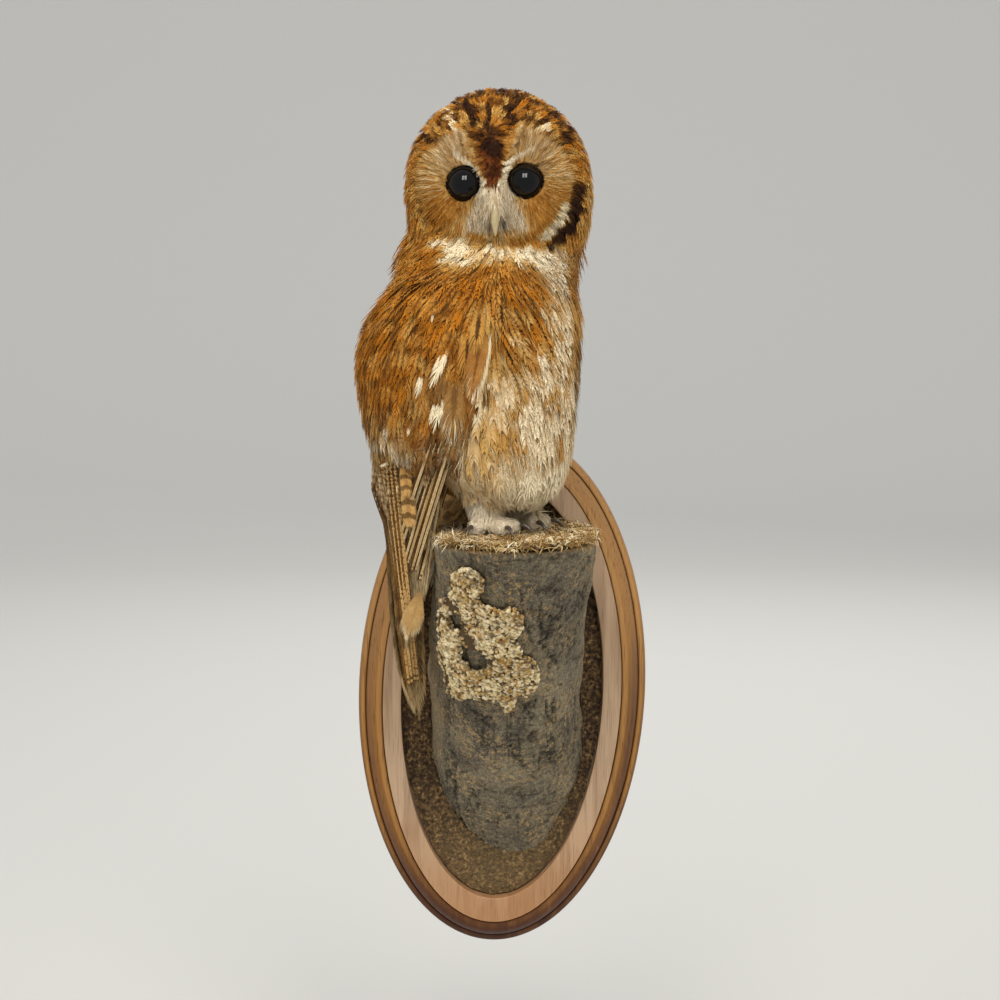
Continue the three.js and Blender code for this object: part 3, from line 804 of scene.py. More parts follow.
bodyTurn = turnZ(owlSizes["heading"])
headTurn = turnZ(owlSizes["headYaw"]) @ turnY(owlSizes["headRoll"])


def toHead(points):  # millimetres in the head's own frame: x to its left, -y forward, z up
    return (points - owlSizes["headCentre"]) @ headTurn / mm


def fromHead(points):
    return np.asarray(points, float) * mm @ headTurn.T + owlSizes["headCentre"]


def toBody(points):  # millimetres in the owl's own frame, its feet at the origin
    return (points - owlSizes["stand"]) @ bodyTurn / mm


def fromBody(points):
    return np.asarray(points, float) * mm @ bodyTurn.T + owlSizes["stand"]


def isPart(label, *names):  # label is a node's number in fleshNodes
    return np.isin(label, [fleshNodes.index(name) for name in names])


def discOval(h):  # 1 on the rim of the facial discs
    x, _, z = h.T
    return np.sqrt((x / 48.5) ** 2 + ((z - 1.5) / (34.5 + 2.0 * np.abs(x) / 20)) ** 2)


def wedgeShare(x, z):  # the dark wedge that runs down between the eyes
    half = np.interp(z, (-5, -3, 2, 8, 15, 24, 34), (0.6, 1.8, 3.6, 6.0, 8.0, 11, 16))
    return ramp(-0.9, 0.9, half - np.abs(x + 0.9)) * ramp(-6, -3.5, z)


def fromEyes(h):  # how far from the nearer eye; the brow sits lower over the left one
    rise = np.where((h[:, 0] > 0) & (h[:, 2] > eyeZ), 1.20, 1.0)
    right = np.hypot(h[:, 0] + eyeX, h[:, 2] - eyeZ)
    return np.minimum(right, np.hypot(h[:, 0] - eyeX, (h[:, 2] - eyeZ) * rise))


def discShare(h):  # 1 on the two facial discs, 0 off them, from head coordinates
    x, y, z = h.T
    oval = discOval(h) + (lumps(h, 6.0, 57) - 0.5) * 0.09
    return ramp(1.03, 0.95, oval) * (1 - wedgeShare(x, z)) * ramp(-14, -20, y)


def across(vectors, normals):  # the part of each vector that lies square to its normal
    return vectors - normals * np.sum(vectors * normals, axis=-1, keepdims=True)


def lieOfCoat(points, normals, label):  # which way the coat runs, along the skin
    h = toHead(points)
    b = toBody(points)
    out = np.tile((0.0, 0.0, -1.0), (len(points), 1))
    x, y, z = h.T
    up = points[:, 2]
    # head: back over the crown, down its sides and nape
    fall = 0.15 + 1.7 * ramp(-25, 30, y) + 2.2 * ramp(-6, -26, z)
    fall = fall + 1.9 * ramp(24, 50, np.abs(x)) * ramp(46, 8, z)
    crown = np.c_[0.30 * np.sign(x) * ramp(4, 30, np.abs(x)) * ramp(0, -30, y), np.ones(len(x)), -fall]
    # face: out from each eye, and down beside the bill
    rays = 0
    for side in (-1, 1):
        away = h - np.array((side * eyeX, -34.0, eyeZ))
        rays = rays + away / np.linalg.norm(away, axis=1, keepdims=True) ** 3.2
    beside = np.c_[0.42 * np.sign(x - 0.4), -0.25 + 0 * x, -np.ones(len(x))]
    byBill = (ramp(12, 6, np.abs(x)) * ramp(5, -3, z))[:, None]
    face = mixed(unit(rays), beside, byBill)
    headWay = mixed(unit(crown), face, discShare(h)[:, None]) @ headTurn.T
    isHead, isTrunk, isNeck = (isPart(label, name) for name in ("head", "trunk", "neck"))
    out[isHead] = headWay[isHead]
    # breast leans with the turned body, wings fall back to their tips
    lean = 0.20 * ramp(0.30, 0.16, up) * ramp(0.10, -0.04, points[:, 1] + 0.115)
    out[:, 0] += lean * isTrunk
    throat = ramp(-0.085, -0.110, points[:, 1])
    swirling = ramp(-8, 6, points[:, 0] / mm) * ramp(0.215, 0.245, up) * ramp(0.292, 0.282, up) * throat
    out[:, 0] += 0.55 * swirling * (isTrunk | isNeck)
    fan = np.clip((points[:, 0] / mm - 2) / 22, -1.3, 1.0) * ramp(0.274, 0.290, up)
    out[:, 0] += 1.1 * fan * throat * isNeck
    isWing = isPart(label, "wing_right", "wing_left")
    fold = 0.55 * ramp(0.215, 0.285, up) + 0.16 + 0.25 * ramp(0.19, 0.15, up) * ramp(20, -40, b[:, 1])
    out[isWing] += (np.c_[0 * fold, fold, 0 * fold] @ bodyTurn.T)[isWing]
    for name, at in (("foot_right", (-12, 3)), ("foot_left", (16, 4))):
        isFoot = isPart(label, name)
        away = np.c_[b[:, 0] - at[0], b[:, 1] - at[1], 0 * b[:, 0]]
        reach = np.linalg.norm(away, axis=1)
        away = unit(away) * ramp(5, 13, reach)[:, None] + np.array((0, 0, -0.35))
        out[isFoot] = (away @ bodyTurn.T)[isFoot]
    return unit(across(unit(out), normals))


# dark blotches of the crown: middle, half length, half width, and tilt in degrees from upright
crownBlotches = [
    (-15.5, 50, 6, 2.6, -10), (-12, 42, 7, 2.2, -14), (-2, 46, 8, 1.8, 0), (-3, 36.5, 8, 2.2, 4),
    (-1.5, 27, 8, 3.4, 0), (-7.5, 30, 4, 1.8, -10), (14, 56, 4, 3, 20), (18, 52, 5, 2.4, 24),
    (10.5, 45, 6, 2.2, 12), (12, 39, 5, 1.8, 20), (1, 21, 6, 4.6, 0), (33, 40, 4, 1.8, 50),
    (39, 43, 5, 1.8, 55), (46, 32, 5, 1.8, 60), (43, 25, 6, 2.2, 60), (5, 58, 5, 4, 0), (-8, 58, 4, 3, -8),
    (22, 47, 5, 1.5, 30), (-32, 40, 4, 1.4, -45), (-25, 51, 5, 1.9, -35), (27, 36, 4, 1.2, 40),
    (-40, 30, 4, 1.2, -60), (-22, 42, 5, 1.4, -25),
]
creamSpecks = [(-23, 36, 5, 1.8, -30), (26, 32, 3.5, 1.8, 40), (21, 30, 3, 1.8, 30),
               (16, 34, 4, 1.4, 20), (-28, 44, 4, 1.3, -35), (31, 34, 3, 1.3, 50)]


def blotted(x, z, blotches, ragged):
    most = np.zeros(len(x))
    for bx, bz, long, wide, tilt in blotches:
        c, s = math.cos(math.radians(tilt)), math.sin(math.radians(tilt))
        along = (x - bx) * s + (z - bz) * c
        aside = (x - bx) * c - (z - bz) * s
        most = np.maximum(most, ramp(1.22, 0.90, np.sqrt((along / long) ** 2 + (aside / wide) ** 2) + ragged))
    return most


def noisesOf(points):  # two kinds of noise on these points: specks from 0 to 1, and a sway from -0.5 to 0.5
    def specks(size, seed, low, high, tall=1):
        return ramp(low, high, lumps(points / np.array((1, 1, tall)), size * mm, seed))

    def sway(size, seed):
        return lumps(points, size * mm, seed) - 0.5

    return specks, sway


def faceMarks(h, specks, wander):  # pale, dark and grey shares on the two discs
    x, y, z = h.T
    wide = np.abs(x)
    near = fromEyes(h)
    hairs = 0.5 + 0.5 * np.sin(np.arctan2(z - eyeZ, wide - eyeX) * 34 + wander * 0.8 + near * 0.10)
    pale = 0.30 + 0.14 * ramp(8, 28, near) + 0.14 * (hairs - 0.5) + 0.10 * (specks(3.6, 59, 0.4, 0.7) - 0.5)
    low = ramp(2, -12, z) * ramp(13, 21, wide - 0.22 * np.maximum(-z, 0)) * ramp(62, 44, wide * 1.1)
    pale = pale - 0.40 * low + 0.30 * low * specks(3.8, 60, 0.60, 0.74)
    upper = ramp(2, 12, z) * ramp(12, 20, wide) * ramp(40, 30, wide)
    pale = pale + 0.06 * upper * ramp(0, -10, x)
    grey = 0.16 - 0.16 * low + 0.24 * upper
    # white bristles above and beside the bill, and a white brow on each side of the wedge
    fan = np.abs(x - 0.5) - 0.34 * np.maximum(-z, 0) + wander * 0.5
    bristle = ramp(12.0, 8.0, fan) * ramp(5, -2, z) * ramp(-31, -25, z + wander * 0.4)
    rightBrow = -np.interp(z, (-6, 3.6, 14, 19), (8, 8.4, 15, 22))
    leftBrow = np.interp(z, (-6, -1, 8, 15, 19, 21), (2.5, 4, 6.8, 11, 18, 23.6))
    brow = ramp(3.4, 1.3, np.abs(x - np.where(x < 0, rightBrow, leftBrow))) * ramp(-8, -3, z) * ramp(25, 19, z)
    white = np.clip(bristle + brow, 0, 1)
    pale = mixed(pale, 0.62 + 0.26 * brow, white)
    grey = mixed(grey, 0.80 - 0.20 * brow, white)
    dark = 0.9 * ramp(11.0, 9.5, near) + 0.14 * (1 - hairs) + 0.10 * specks(3.0, 55, 0.55, 0.7)
    # a dark line under the brow over the left eye: painted shadow
    browShadow = ramp(1.9, 0.5, np.abs(z - (9.0 + 0.30 * (x - 18)))) * ramp(10, 15, x) * ramp(34, 27, x)
    # the lower part of each disc also gets painted shade, more of it on the owl's left
    dark = np.maximum(dark, 0.7 * browShadow) + low * (0.14 + 0.14 * ramp(30, 40, x))
    # painted shade in the gaps beside the bill, and the mottled chin
    dark = np.maximum(dark, 0.95 * spot(x, 5.2, 1.8) * spot(z, -23, 5))
    dark = np.maximum(dark, 0.8 * spot(x, -3.8, 1.5) * spot(z, -26, 3.5))
    chin = ramp(26, 18, np.abs(x - 3)) * ramp(-26, -29, z)
    pale = mixed(pale, 0.08 + 0.45 * specks(3.0, 50, 0.45, 0.60), chin)
    dark = mixed(dark, 0.45 * specks(2.6, 49, 0.55, 0.66), chin)
    grey = grey * (1 - chin)
    rimRight = ramp(-15, -21, x + wander * 0.5) * ramp(-42, -37, x) * ramp(-28.5, -32, z + wander * 0.4)
    pale = pale + (0.92 - pale) * (0.7 * ramp(26, 34, x) * ramp(-20, -28, z) + rimRight)
    return pale, dark, grey


def headMarks(points, h):  # pale, dark, grey, streak and chestnut shares
    x, y, z = h.T
    specks, sway = noisesOf(points)
    disc = discShare(h)
    wander = sway(9, 51) * 5
    ragged = sway(3.2, 56) * 1.1
    front = ramp(4, -8, y)
    # off the discs: golden brown with dark blotches, cream specks and a chestnut wedge
    dark = blotted(x, z, crownBlotches, ragged) * front
    dark = np.maximum(1.15 * dark, 0.95 * specks(4.2, 58, 0.60, 0.66) * ramp(14, 30, z))
    spokes = np.sin(np.arctan2(x, np.abs(z - 10) + 12) * 15 + wander * 1.3)
    dark = np.maximum(dark, (1 - front) * ramp(0.35, 0.9, spokes + ragged * 0.6) * 0.7 * ramp(-30, 10, z))
    cream = blotted(x, z, creamSpecks, ragged) * front
    pale = 0.10 + 0.26 * specks(4.2, 52, 0.50, 0.70)
    pale = np.maximum(pale * np.clip(1 - dark, 0, 1), 0.85 * cream)
    dark = dark * (1 - cream)
    chest = wedgeShare(x, z) * ramp(34, 22, z) * front * ramp(9.5, 5.0, np.abs(x + 0.9) + ragged * 1.5)
    dark = np.maximum(dark, chest * (0.10 + 0.75 * specks(2.4, 53, 0.46, 0.60)))
    pale = pale * (1 - chest)
    pale = pale + 0.20 * ramp(44, 54, x) * ramp(14, -8, z) * (1 - dark)
    pale, dark, grey = (mixed(a, b, disc) for a, b in zip((pale, dark, 0), faceMarks(h, specks, wander)))
    chest = chest * (1 - disc)
    streak = (1 - disc) * (0.35 + 0.4 * ramp(40, 52, np.abs(x)))
    # dark and white edge low on its left, dark ticks elsewhere on the rim
    rim = discOval(h)
    edge = spot(rim, 1.01, 0.07)
    ticks = ramp(-0.3, 0.5, np.sin(np.arctan2(z, x) * 52 + wander * 0.8))
    faint = 0.75 * ramp(-26, -38, x) * spot(z, -10, 16) + 0.8 * ramp(28, 36, x) * spot(z, 24, 9)
    faint = faint + 0.45 * ramp(-12, -20, z)
    dark = np.maximum(dark, edge * ticks * faint * ramp(-6, -16, y))
    arc = 1.07 + 0.13 * ramp(-5, -35, z)
    outer = ramp(28, 33, x) * ramp(3, -2, z) * ramp(-46, -40, z) * ramp(4, -6, y)
    outer = outer * ramp(0.085, 0.065, np.abs(rim - arc + 0.02) + 0.02 * ragged)
    inner = ramp(22, 28, x) * ramp(-9, -14, z) * ramp(-44, -38, z) * ramp(0, -10, y)
    inner = inner * ramp(0.060, 0.040, np.abs(rim - arc + 0.140))
    both = np.maximum(outer, inner)
    dark = mixed(mixed(dark, 1.2 + 0.3 * ticks, outer), 0.55 * (1 - ticks), inner)
    pale = pale * (1 - both) + inner + outer * 0.04
    grey = grey * (1 - both)
    white = ramp(-14, -20, x + wander * 0.5) * ramp(-44, -39, x) * ramp(-6, -14, y)
    white = white * ramp(-28.5, -31.5, z + wander * 0.4)
    return np.maximum(pale, 0.92 * white), dark, grey, streak, chest


def coatShares(points, label):  # for each point: pale, dark, grey, streak and warm shares
    h = toHead(points)
    specks, sway = noisesOf(points)
    x, y, z = points.T / mm
    shares = np.zeros((5, len(points)))

    def put(names, *values):  # onto the points of these nodes; None leaves a share alone
        here = isPart(label, *names)
        for row, value in enumerate(values):
            if value is not None:
                shares[row] = np.where(here, value, shares[row])

    angle = np.degrees(np.arctan2(points[:, 1] - owlSizes["stand"][1] - 0.012, points[:, 0] + 0.016))
    fromBreast = (angle + 40 + 180) % 360 - 180  # 0 at the breast, -90 at the owl's right side
    onFront = ramp(-0.085, -0.110, points[:, 1])
    # golden swirl that leans from the throat across to its left side
    swirl = ramp(6, -6, x - 8 - (290 - z) * 0.52 + 9 * sway(12, 48))
    swirl = swirl * ramp(208, 240, z + 44 * sway(8, 47) - 0.25 * x)
    swirl = swirl * (0.45 + 0.55 * specks(5.5, 62, 0.36, 0.54))
    # trunk: whitish breast, golden flank by the wing, rufous back
    back = ramp(84, 108, np.abs(fromBreast))
    whitish = ramp(-14, 14, x + 0.10 * (z - 210) + 10 * sway(12, 61)) * ramp(100, 70, fromBreast)
    low = ramp(180, 150, z)
    blotch = specks(3.6, 63, 0.53, 0.63, 3.4) * ramp(-10, 8, x) * ramp(150, 170, z)
    pale = 0.58 + 0.38 * whitish - 0.60 * blotch * (1 - 0.4 * low) + 0.08 * low
    pale = pale * (1 - 0.62 * ramp(36, 48, x + 8 * sway(6, 37)) * ramp(196, 232, z))
    gold = ramp(14, -4, x + 10 * sway(9, 41)) * ramp(152, 178, z) * ramp(245, 230, z)
    pale = mixed(pale, 0.46 + 0.34 * specks(5, 46, 0.45, 0.62, 3), gold)
    pale = mixed(mixed(pale, 0.06, swirl), 0.08, ramp(-12, -26, x) * ramp(236, 246, z))
    streak = 0.45 * whitish * (1 - low) + 0.65 * swirl + 0.10
    pale = mixed(pale, 0.06 + 0.2 * specks(6, 64, 0.55, 0.7), back)
    grey = (0.10 * whitish + 0.10 * low) * (1 - swirl)
    warm = 0.20 * blotch * (1 - back) * (1 - swirl)
    put(["trunk"], pale, 0.5 * swirl * specks(4, 65, 0.60, 0.70), grey, mixed(streak, 0.85, back), warm)
    # wings: golden brown with long dark streaks, duller and paler low down
    lowWing = ramp(200, 176, z + 14 * sway(8, 66))
    dull = ramp(246, 206, z) * ramp(-58, -40, x) * 0.7 + ramp(230, 190, z) * specks(11, 67, 0.42, 0.62)
    pale = 0.02 + 0.24 * specks(6.5, 68, 0.50, 0.70) + lowWing * (0.10 + 0.46 * specks(5.5, 45, 0.48, 0.62))
    dark = 0.14 * dull + 0.50 * lowWing * specks(6, 69, 0.46, 0.60)
    dark = np.maximum(dark, 0.62 * specks(2.3, 40, 0.60, 0.68, 5.5))
    put(["wing_right", "wing_left"], pale, dark, 0.14 * dull + 0.26 * lowWing, 0.62 - 0.10 * lowWing)
    slot = ramp(40, 44, x) * ramp(182, 192, z) * ramp(246, 238, z) * ramp(-127, -117, y + 8 * sway(6, 39))
    put(["wing_left", "trunk"], None, np.maximum(shares[1], 0.75 * slot))
    # ruff: white and cream below the chin, golden on its right, grey and streaked on its left
    right = ramp(-32, -42, x + 6 * sway(7, 44))
    left = ramp(35, 45, x + 8 * sway(6, 36))
    under = ramp(293, 286, z + 0.10 * np.abs(x) + 5 * sway(6, 42)) * ramp(30, 10, x - (290 - z) * 0.5)
    pale = mixed(0.62 + 0.36 * specks(4.5, 43, 0.42, 0.58) + 0.06 * ramp(6, 24, x), 0.07, under)
    pale = mixed(0.10, pale * (1 - right) * (1 - left) + 0.07 * right + 0.16 * left, onFront)
    streak = mixed(0.8, 0.22 + 0.45 * ramp(20, 34, x) + 0.5 * under, onFront)
    grey = (0.40 * ramp(4, 22, x) * (1 - left) * (1 - under) + 0.2 * left) * onFront
    put(["neck"], pale, None, grey, np.clip(streak + 0.3 * (right + left), 0, 1))
    fluff = 0.72 + 0.28 * specks(3.5, 70, 0.36, 0.56)
    put(["leg_right", "leg_left", "foot_right", "foot_left"], fluff, None, 0.02)
    # the ruff shows through the lowest feathers of the head
    skirt = ramp(-33, -43, h[:, 2] + 12 * sway(6, 38)) * onFront
    ruff = (pale, 0.0, 0.2 * ramp(4, 22, x), streak, 0.0)
    put(["head"], *(mixed(own, below, skirt) for own, below in zip(headMarks(points, h), ruff)))
    return np.clip(shares.T, 0, (1, 1.4, 1, 1, 1))


coatColours = {
    "rufous": "b26c16", "rufousDeep": "754008", "buff": "c79a50", "cream": "efdfb9", "darkBrown": "26150a",
    "chestnut": "65290d", "russet": "94601f", "grey": "6f6450", "paleGrey": "ddd4bf",
}
earthyColours = dict(coatColours, rufous="a8722e", rufousDeep="6e4416", buff="cda263", cream="e6cf9f",
                     darkBrown="2a1a0e")
downColours = dict(coatColours, cream="faedd2", buff="ddcaa4", paleGrey="ece3d2")


def coatMaterial(name, barbs=1.0, bars=0.0, shaft=0.95, colours=coatColours):
    material, wire, shader = newMaterial(name, {"Roughness": 0.75, "Specular IOR Level": 0.10})
    place = wire.place()
    marks = wire.field("marks", 0)
    streak = marks.other(3)
    pale = marks.node("ShaderNodeSeparateColor", {}, {0: marks})
    dark, grey = pale.other(1), pale.other(2)
    along = wire.field("vane", 1).axis(0)
    edge, own = abs(along.other(1)), along.other(2)
    fine = place.noise(620.0, 2.0, 0.6)
    mottle = place.noise(210.0, 3.0, 0.65)
    share = (pale + (own - 0.5) * 0.20 + (mottle - 0.5) * 0.26).maths("MAXIMUM", 0.0)
    tone = (own * 0.85).blend(colours["rufous"], colours["rufousDeep"])
    tone = (place.noise(85.0, 3.0, 0.6).step(0.48, 0.66) * 0.55).blend(tone, "d49a48")
    tone = share.step(0.05, 0.50).blend(tone, colours["buff"])
    tone = share.step(0.40, 0.88).blend(tone, colours["cream"])
    tone = (wire.field("warm") * 0.9).blend(tone, colours["chestnut"])
    tone = (grey * 0.85).blend(tone, share.step(0.1, 0.9).blend(colours["grey"], colours["paleGrey"]))
    ragged = edge + (fine - 0.5) * 0.34 + (mottle - 0.5) * 0.30
    # pale feathers: a russet middle and arrow-shaped bars
    wave = ((along * 3.2 + edge * 1.1 + own * 2.0) * 6.283).maths("SINE")
    arrows = wave.step(0.15, 0.75) * (1 - ragged.step(0.55, 0.95)) * 0.75
    middle = (1 - (ragged / (0.26 + own * 0.16)).step(0.6, 1.05)) * 0.8
    russet = arrows.maths("MAXIMUM", middle) * streak * pale.step(0.30, 0.60) * along.step(0.20, 0.45)
    tone = russet.blend(tone, colours["russet"])
    # a dark shaft streak with ragged sides, a pale fringe and finely mottled barbs, with fine dark lines of
    # painted shade between the barbs
    width = 0.10 + own * 0.40 * (1 - pale.step(0.3, 0.6) * 0.85)
    inStreak = (1 - (ragged / width).step(0.55, 1.05)) * along.step(0.12, 0.35)
    inStreak = inStreak * (1 - along.step(0.90, 1.05) * 0.5)
    tone = (inStreak * streak * (1 - pale.step(0.3, 0.6) * 0.35) * shaft).blend(tone, colours["darkBrown"])
    tone = (edge.step(0.60, 0.95) * 0.34 * (1 - dark)).blend(tone, colours["buff"])
    if bars:
        wave = ((along * bars - edge * 0.22 + own * 0.5) * 6.283).maths("SINE") * 0.5 + 0.5
        tone = (wave.step(0.50, 0.80) * 0.75 * streak).blend(tone, "4a2f17")
    tone = (dark * (0.85 + (fine - 0.5) * 0.8)).blend(tone, colours["darkBrown"])
    # painted shade between the barbs, scaled by barbs
    lined = place.noise(1500.0, 1.0, 0.5)
    tone = ((1 - lined.step(0.30, 0.62)) * 0.32 * barbs).blend(tone, (0.42, 0.34, 0.26, 1), "MULTIPLY")
    # painted shade: darker towards the root of each feather, where the ones above cover it
    tone = ((1 - along.step(0.0, 0.42)) * 0.48).blend(tone, (0.35, 0.28, 0.22, 1), "MULTIPLY")
    connect(shader, BaseColor=tone, Roughness=0.65 + fine * 0.2,
            Normal=(lined * 0.6 + fine * 0.4).bumped(0.35 * barbs, 0.0003))
    return material


coatFinish = coatMaterial("coat")


def unwrap(obj):  # only the OFBake map stays
    mesh = obj.data
    bpy.ops.object.select_all(action="DESELECT")
    obj.select_set(True)
    bpy.context.view_layer.objects.active = obj
    while mesh.uv_layers:
        mesh.uv_layers.remove(mesh.uv_layers[0])
    mesh.uv_layers.new(name="OFBake")
    bpy.ops.object.mode_set(mode="EDIT")
    bpy.ops.mesh.select_all(action="SELECT")
    bpy.ops.uv.smart_project(angle_limit=math.radians(66), island_margin=0.002)
    bpy.ops.object.mode_set(mode="OBJECT")


def makeSkin():
    size = owlSizes
    parts = [mergedCopy("flesh_" + name, name) for name in fleshNodes]
    for part in parts:
        setPoints(part.data, pointsOf(part.data) + normalsOf(part.data) * 0.5 * mm)
    skin = joined(*parts)
    skin.name = "skin"
    remeshed(skin, size["skinVoxel"])
    keepLargest(skin)
    points = pointsOf(skin.data)
    edges = edgesOf(skin.data)
    # which node each place belongs to, and how deep the skin lies there
    gaps = np.array([nearest(treeOf(nodes[name].data), points)[3] for name in fleshNodes])
    label = gaps.argmin(axis=0)
    h = toHead(points)
    eyeGap = np.minimum(*(np.linalg.norm(h - (side * eyeX, eyeY, eyeZ), axis=1) for side in (-1, 1)))
    onHead = isPart(label, "head")
    depth = np.array(list(size["depth"].values()))[label]
    depth = np.where(onHead, depth + (size["faceDepth"] - depth) * discShare(h), depth)
    depth = relaxed(np.where(onHead & (eyeGap < 13.5), size["lidDepth"], depth), edges, 6)[:, None]
    loose = np.where(onHead & (h[:, 1] < -10), 0.35, 1.0)
    loose = relaxed(np.where(label >= fleshNodes.index("leg_right"), 0.25, loose), edges, 3)[:, None]
    points = points + (relaxed(points, edges, 9) - points) * loose
    setPoints(skin.data, points)
    points = points - normalsOf(skin.data) * (depth + 0.5) * mm
    points = points + (relaxed(points, edges, 2) - points) * loose
    folds = (lumps(points, 7 * mm, 41) - 0.5) * 0.5 + (lumps(points, 3 * mm, 42) - 0.5) * 0.25
    points = points + normalsOf(skin.data) * folds[:, None] * mm * 0.8
    setPoints(skin.data, points)
    skin.data.shade_smooth()
    shares = coatShares(points, label)
    setAttribute(skin.data, "marks", shares[:, :4])
    setAttribute(skin.data, "warm", shares[:, 4])
    setAttribute(skin.data, "vane", np.tile((0.35, 0.8, 0.5), (len(points), 1)))
    unwrap(skin)
    way = lieOfCoat(points, normalsOf(skin.data), label)
    return skin, label, unit(relaxed(way, edges, 4, keep=0.3))


skin, skinLabel, skinWay = makeSkin()
skinTree = treeOf(skin.data)
skinNormals = normalsOf(skin.data)
skinPoints = pointsOf(skin.data)
# for each face of the skin: its first corner and the one across, its middle, size and place on the unwrap
polygons = skin.data.polygons
skinCorners = np.array([(p.vertices[0], p.vertices[p.loop_total // 2]) for p in polygons]).T
faceMiddles = np.array([p.center for p in polygons])
faceSizes = np.array([p.area for p in polygons])
skinFlat = readFrom(skin.data.uv_layers["OFBake"].data, "uv", 2)
skinPatch = np.array([skinFlat[p.loop_start:p.loop_start + p.loop_total].mean(axis=0) for p in polygons])
finished(skin, coatMaterial("skin", 0.5), "rufous", *fleshNodes)

def eyeMaterial():
    material, wire, shader = newMaterial("glass eye", {
        "Roughness": 0.25, "Coat Weight": 0.85, "Coat Roughness": 0.010, "Coat IOR": 1.43,
        "Specular IOR Level": 0.0})
    radial = wire.field("radial")
    iris = (0.35 + wire.place().noise(900.0, 3.0, 0.7) * 0.5).blend("070504", "120d09")
    tone = radial.step(0.58, 0.64).blend("030303", iris)
    connect(shader, BaseColor=radial.step(0.84, 0.93).blend(tone, "0a0908"))
    return material


def makeEyes():
    finish = eyeMaterial()
    radius = owlSizes["eyeRadius"]
    ball = lambda bm: bmesh.ops.create_uvsphere(bm, u_segments=48, v_segments=32, radius=radius)
    for name, side in sides:
        mesh = reworked(bpy.data.meshes.new("glass_eye_" + name), ball)
        x, y, z = pointsOf(mesh).T
        points = np.c_[x, -z, y]  # its pole looks forward
        away = np.hypot(points[:, 0], points[:, 2])
        points[:, 1] -= 0.9 * np.exp(-(away ** 2) / 30) * (points[:, 1] < 0)  # cornea
        setAttribute(mesh, "radial", away / radius + (points[:, 1] > 0))
        setPoints(mesh, fromHead(points + np.array((side * eyeX, eyeY, eyeZ))))
        mesh.shade_smooth()
        finished(linkObject("glass_eye_" + name, mesh), finish, "glass_eye", "eye_" + name)


makeEyes()

lidSizes = {"aperture": 9.0, "corner": 1.0, "innerCorner": 0.9, "width": 1.8, "stand": 0.28, "rise": 0.05,
            "thickness": 1.6, "around": 72, "rows": 9}


def makeLids():  # a dark fold round each eye, drawn out at the corners
    size = lidSizes
    material, wire, shader = newMaterial("eyelid", {"Roughness": 0.85, "Specular IOR Level": 0.1})
    wrinkle = wire.place().noise(1100.0, 3.0, 0.6)
    connect(shader, BaseColor=wrinkle.blend("050403", "120d0a"), Normal=wrinkle.bumped(0.5, 0.0003))
    turn = np.linspace(0, 2 * np.pi, size["around"], endpoint=False)

    def towards(degrees, width):  # 1 at that angle round the eye
        return spot(np.angle(np.exp(1j * (turn - math.radians(degrees)))), 0, width)

    for name, side in sides:
        pull = size["corner"] * towards(-4 if side > 0 else 184, 0.30)
        pull = pull + size["innerCorner"] * towards(196 if side > 0 else -16, 0.35)
        brow = -(0.5 if side < 0 else 1.9) * ramp(0.1, 1.0, np.sin(turn))
        rings = []
        # from inside the aperture, over a rounded edge, and out under the face's feathers
        for share in np.arange(size["rows"]) / (size["rows"] - 1):
            radius = size["aperture"] + pull + brow + size["width"] * max(share - 0.25, 0) / 0.75
            radius = np.minimum(radius - 0.35 * math.sin(min(share / 0.25, 1) * math.pi), 15.5)
            ball = np.sqrt(np.maximum(owlSizes["eyeRadius"] ** 2 - np.minimum(radius, 10.2) ** 2, 0))
            lift = size["stand"] - 0.9 + 0.9 * min(share / 0.12, 1)
            lift = lift + size["rise"] * math.sin(min(share / 0.5, 1) * math.pi) * (0.6 + 0.4 * np.sin(turn))
            back = 2.4 * max(share - 0.4, 0) / 0.6
            x, z = side * eyeX + radius * np.cos(turn), eyeZ + radius * np.sin(turn)
            rings.append(np.c_[x, eyeY - ball - lift + back, z])
        rings += [ring + np.array((0, size["thickness"], 0)) for ring in rings[::-1]]
        faces = ringFaces(size["around"], len(rings), closed=True)
        lid = facedOut(meshObject("lid_" + name, fromHead(np.vstack(rings)), np.vstack(faces), True))
        finished(lid, material, "glass_eye")


makeLids()


def makeBill():
    bill = subdivided(mergedCopy("bill_horn", "bill"), 2)
    h = toHead(pointsOf(bill.data))
    setAttribute(bill.data, "tip", ramp(-14, -30, h[:, 2]))
    ridge = spot(h[:, 0], 0, 1.3) * ramp(-30, -20, h[:, 2])
    slim = 0.95 + 0.05 * ramp(-24, -34, h[:, 2])  # horn lies inside the feathered base
    h[:, 0] = 1.0 + (h[:, 0] - 0.6) * slim
    h[:, 1] += 0.6 * ramp(-16, -6, h[:, 2])
    setPoints(bill.data, fromHead(h) + normalsOf(bill.data) * (ridge * 0.2 * mm)[:, None])
    material, wire, shader = newMaterial("bill horn", {
        "Roughness": 0.34, "Coat Weight": 0.2, "Coat Roughness": 0.2})
    layers = wire.place().stretched(500, 500, 140).noise(1.0, 3.0, 0.6)
    tone = ((1 - wire.field("tip")) * 0.4).blend(layers.blend("a8946a", "dccb9c"), "7d7050")
    connect(shader, BaseColor=tone, Normal=layers.bumped(0.25, 0.0003))
    finished(bill, material, "horn", "bill")


makeBill()


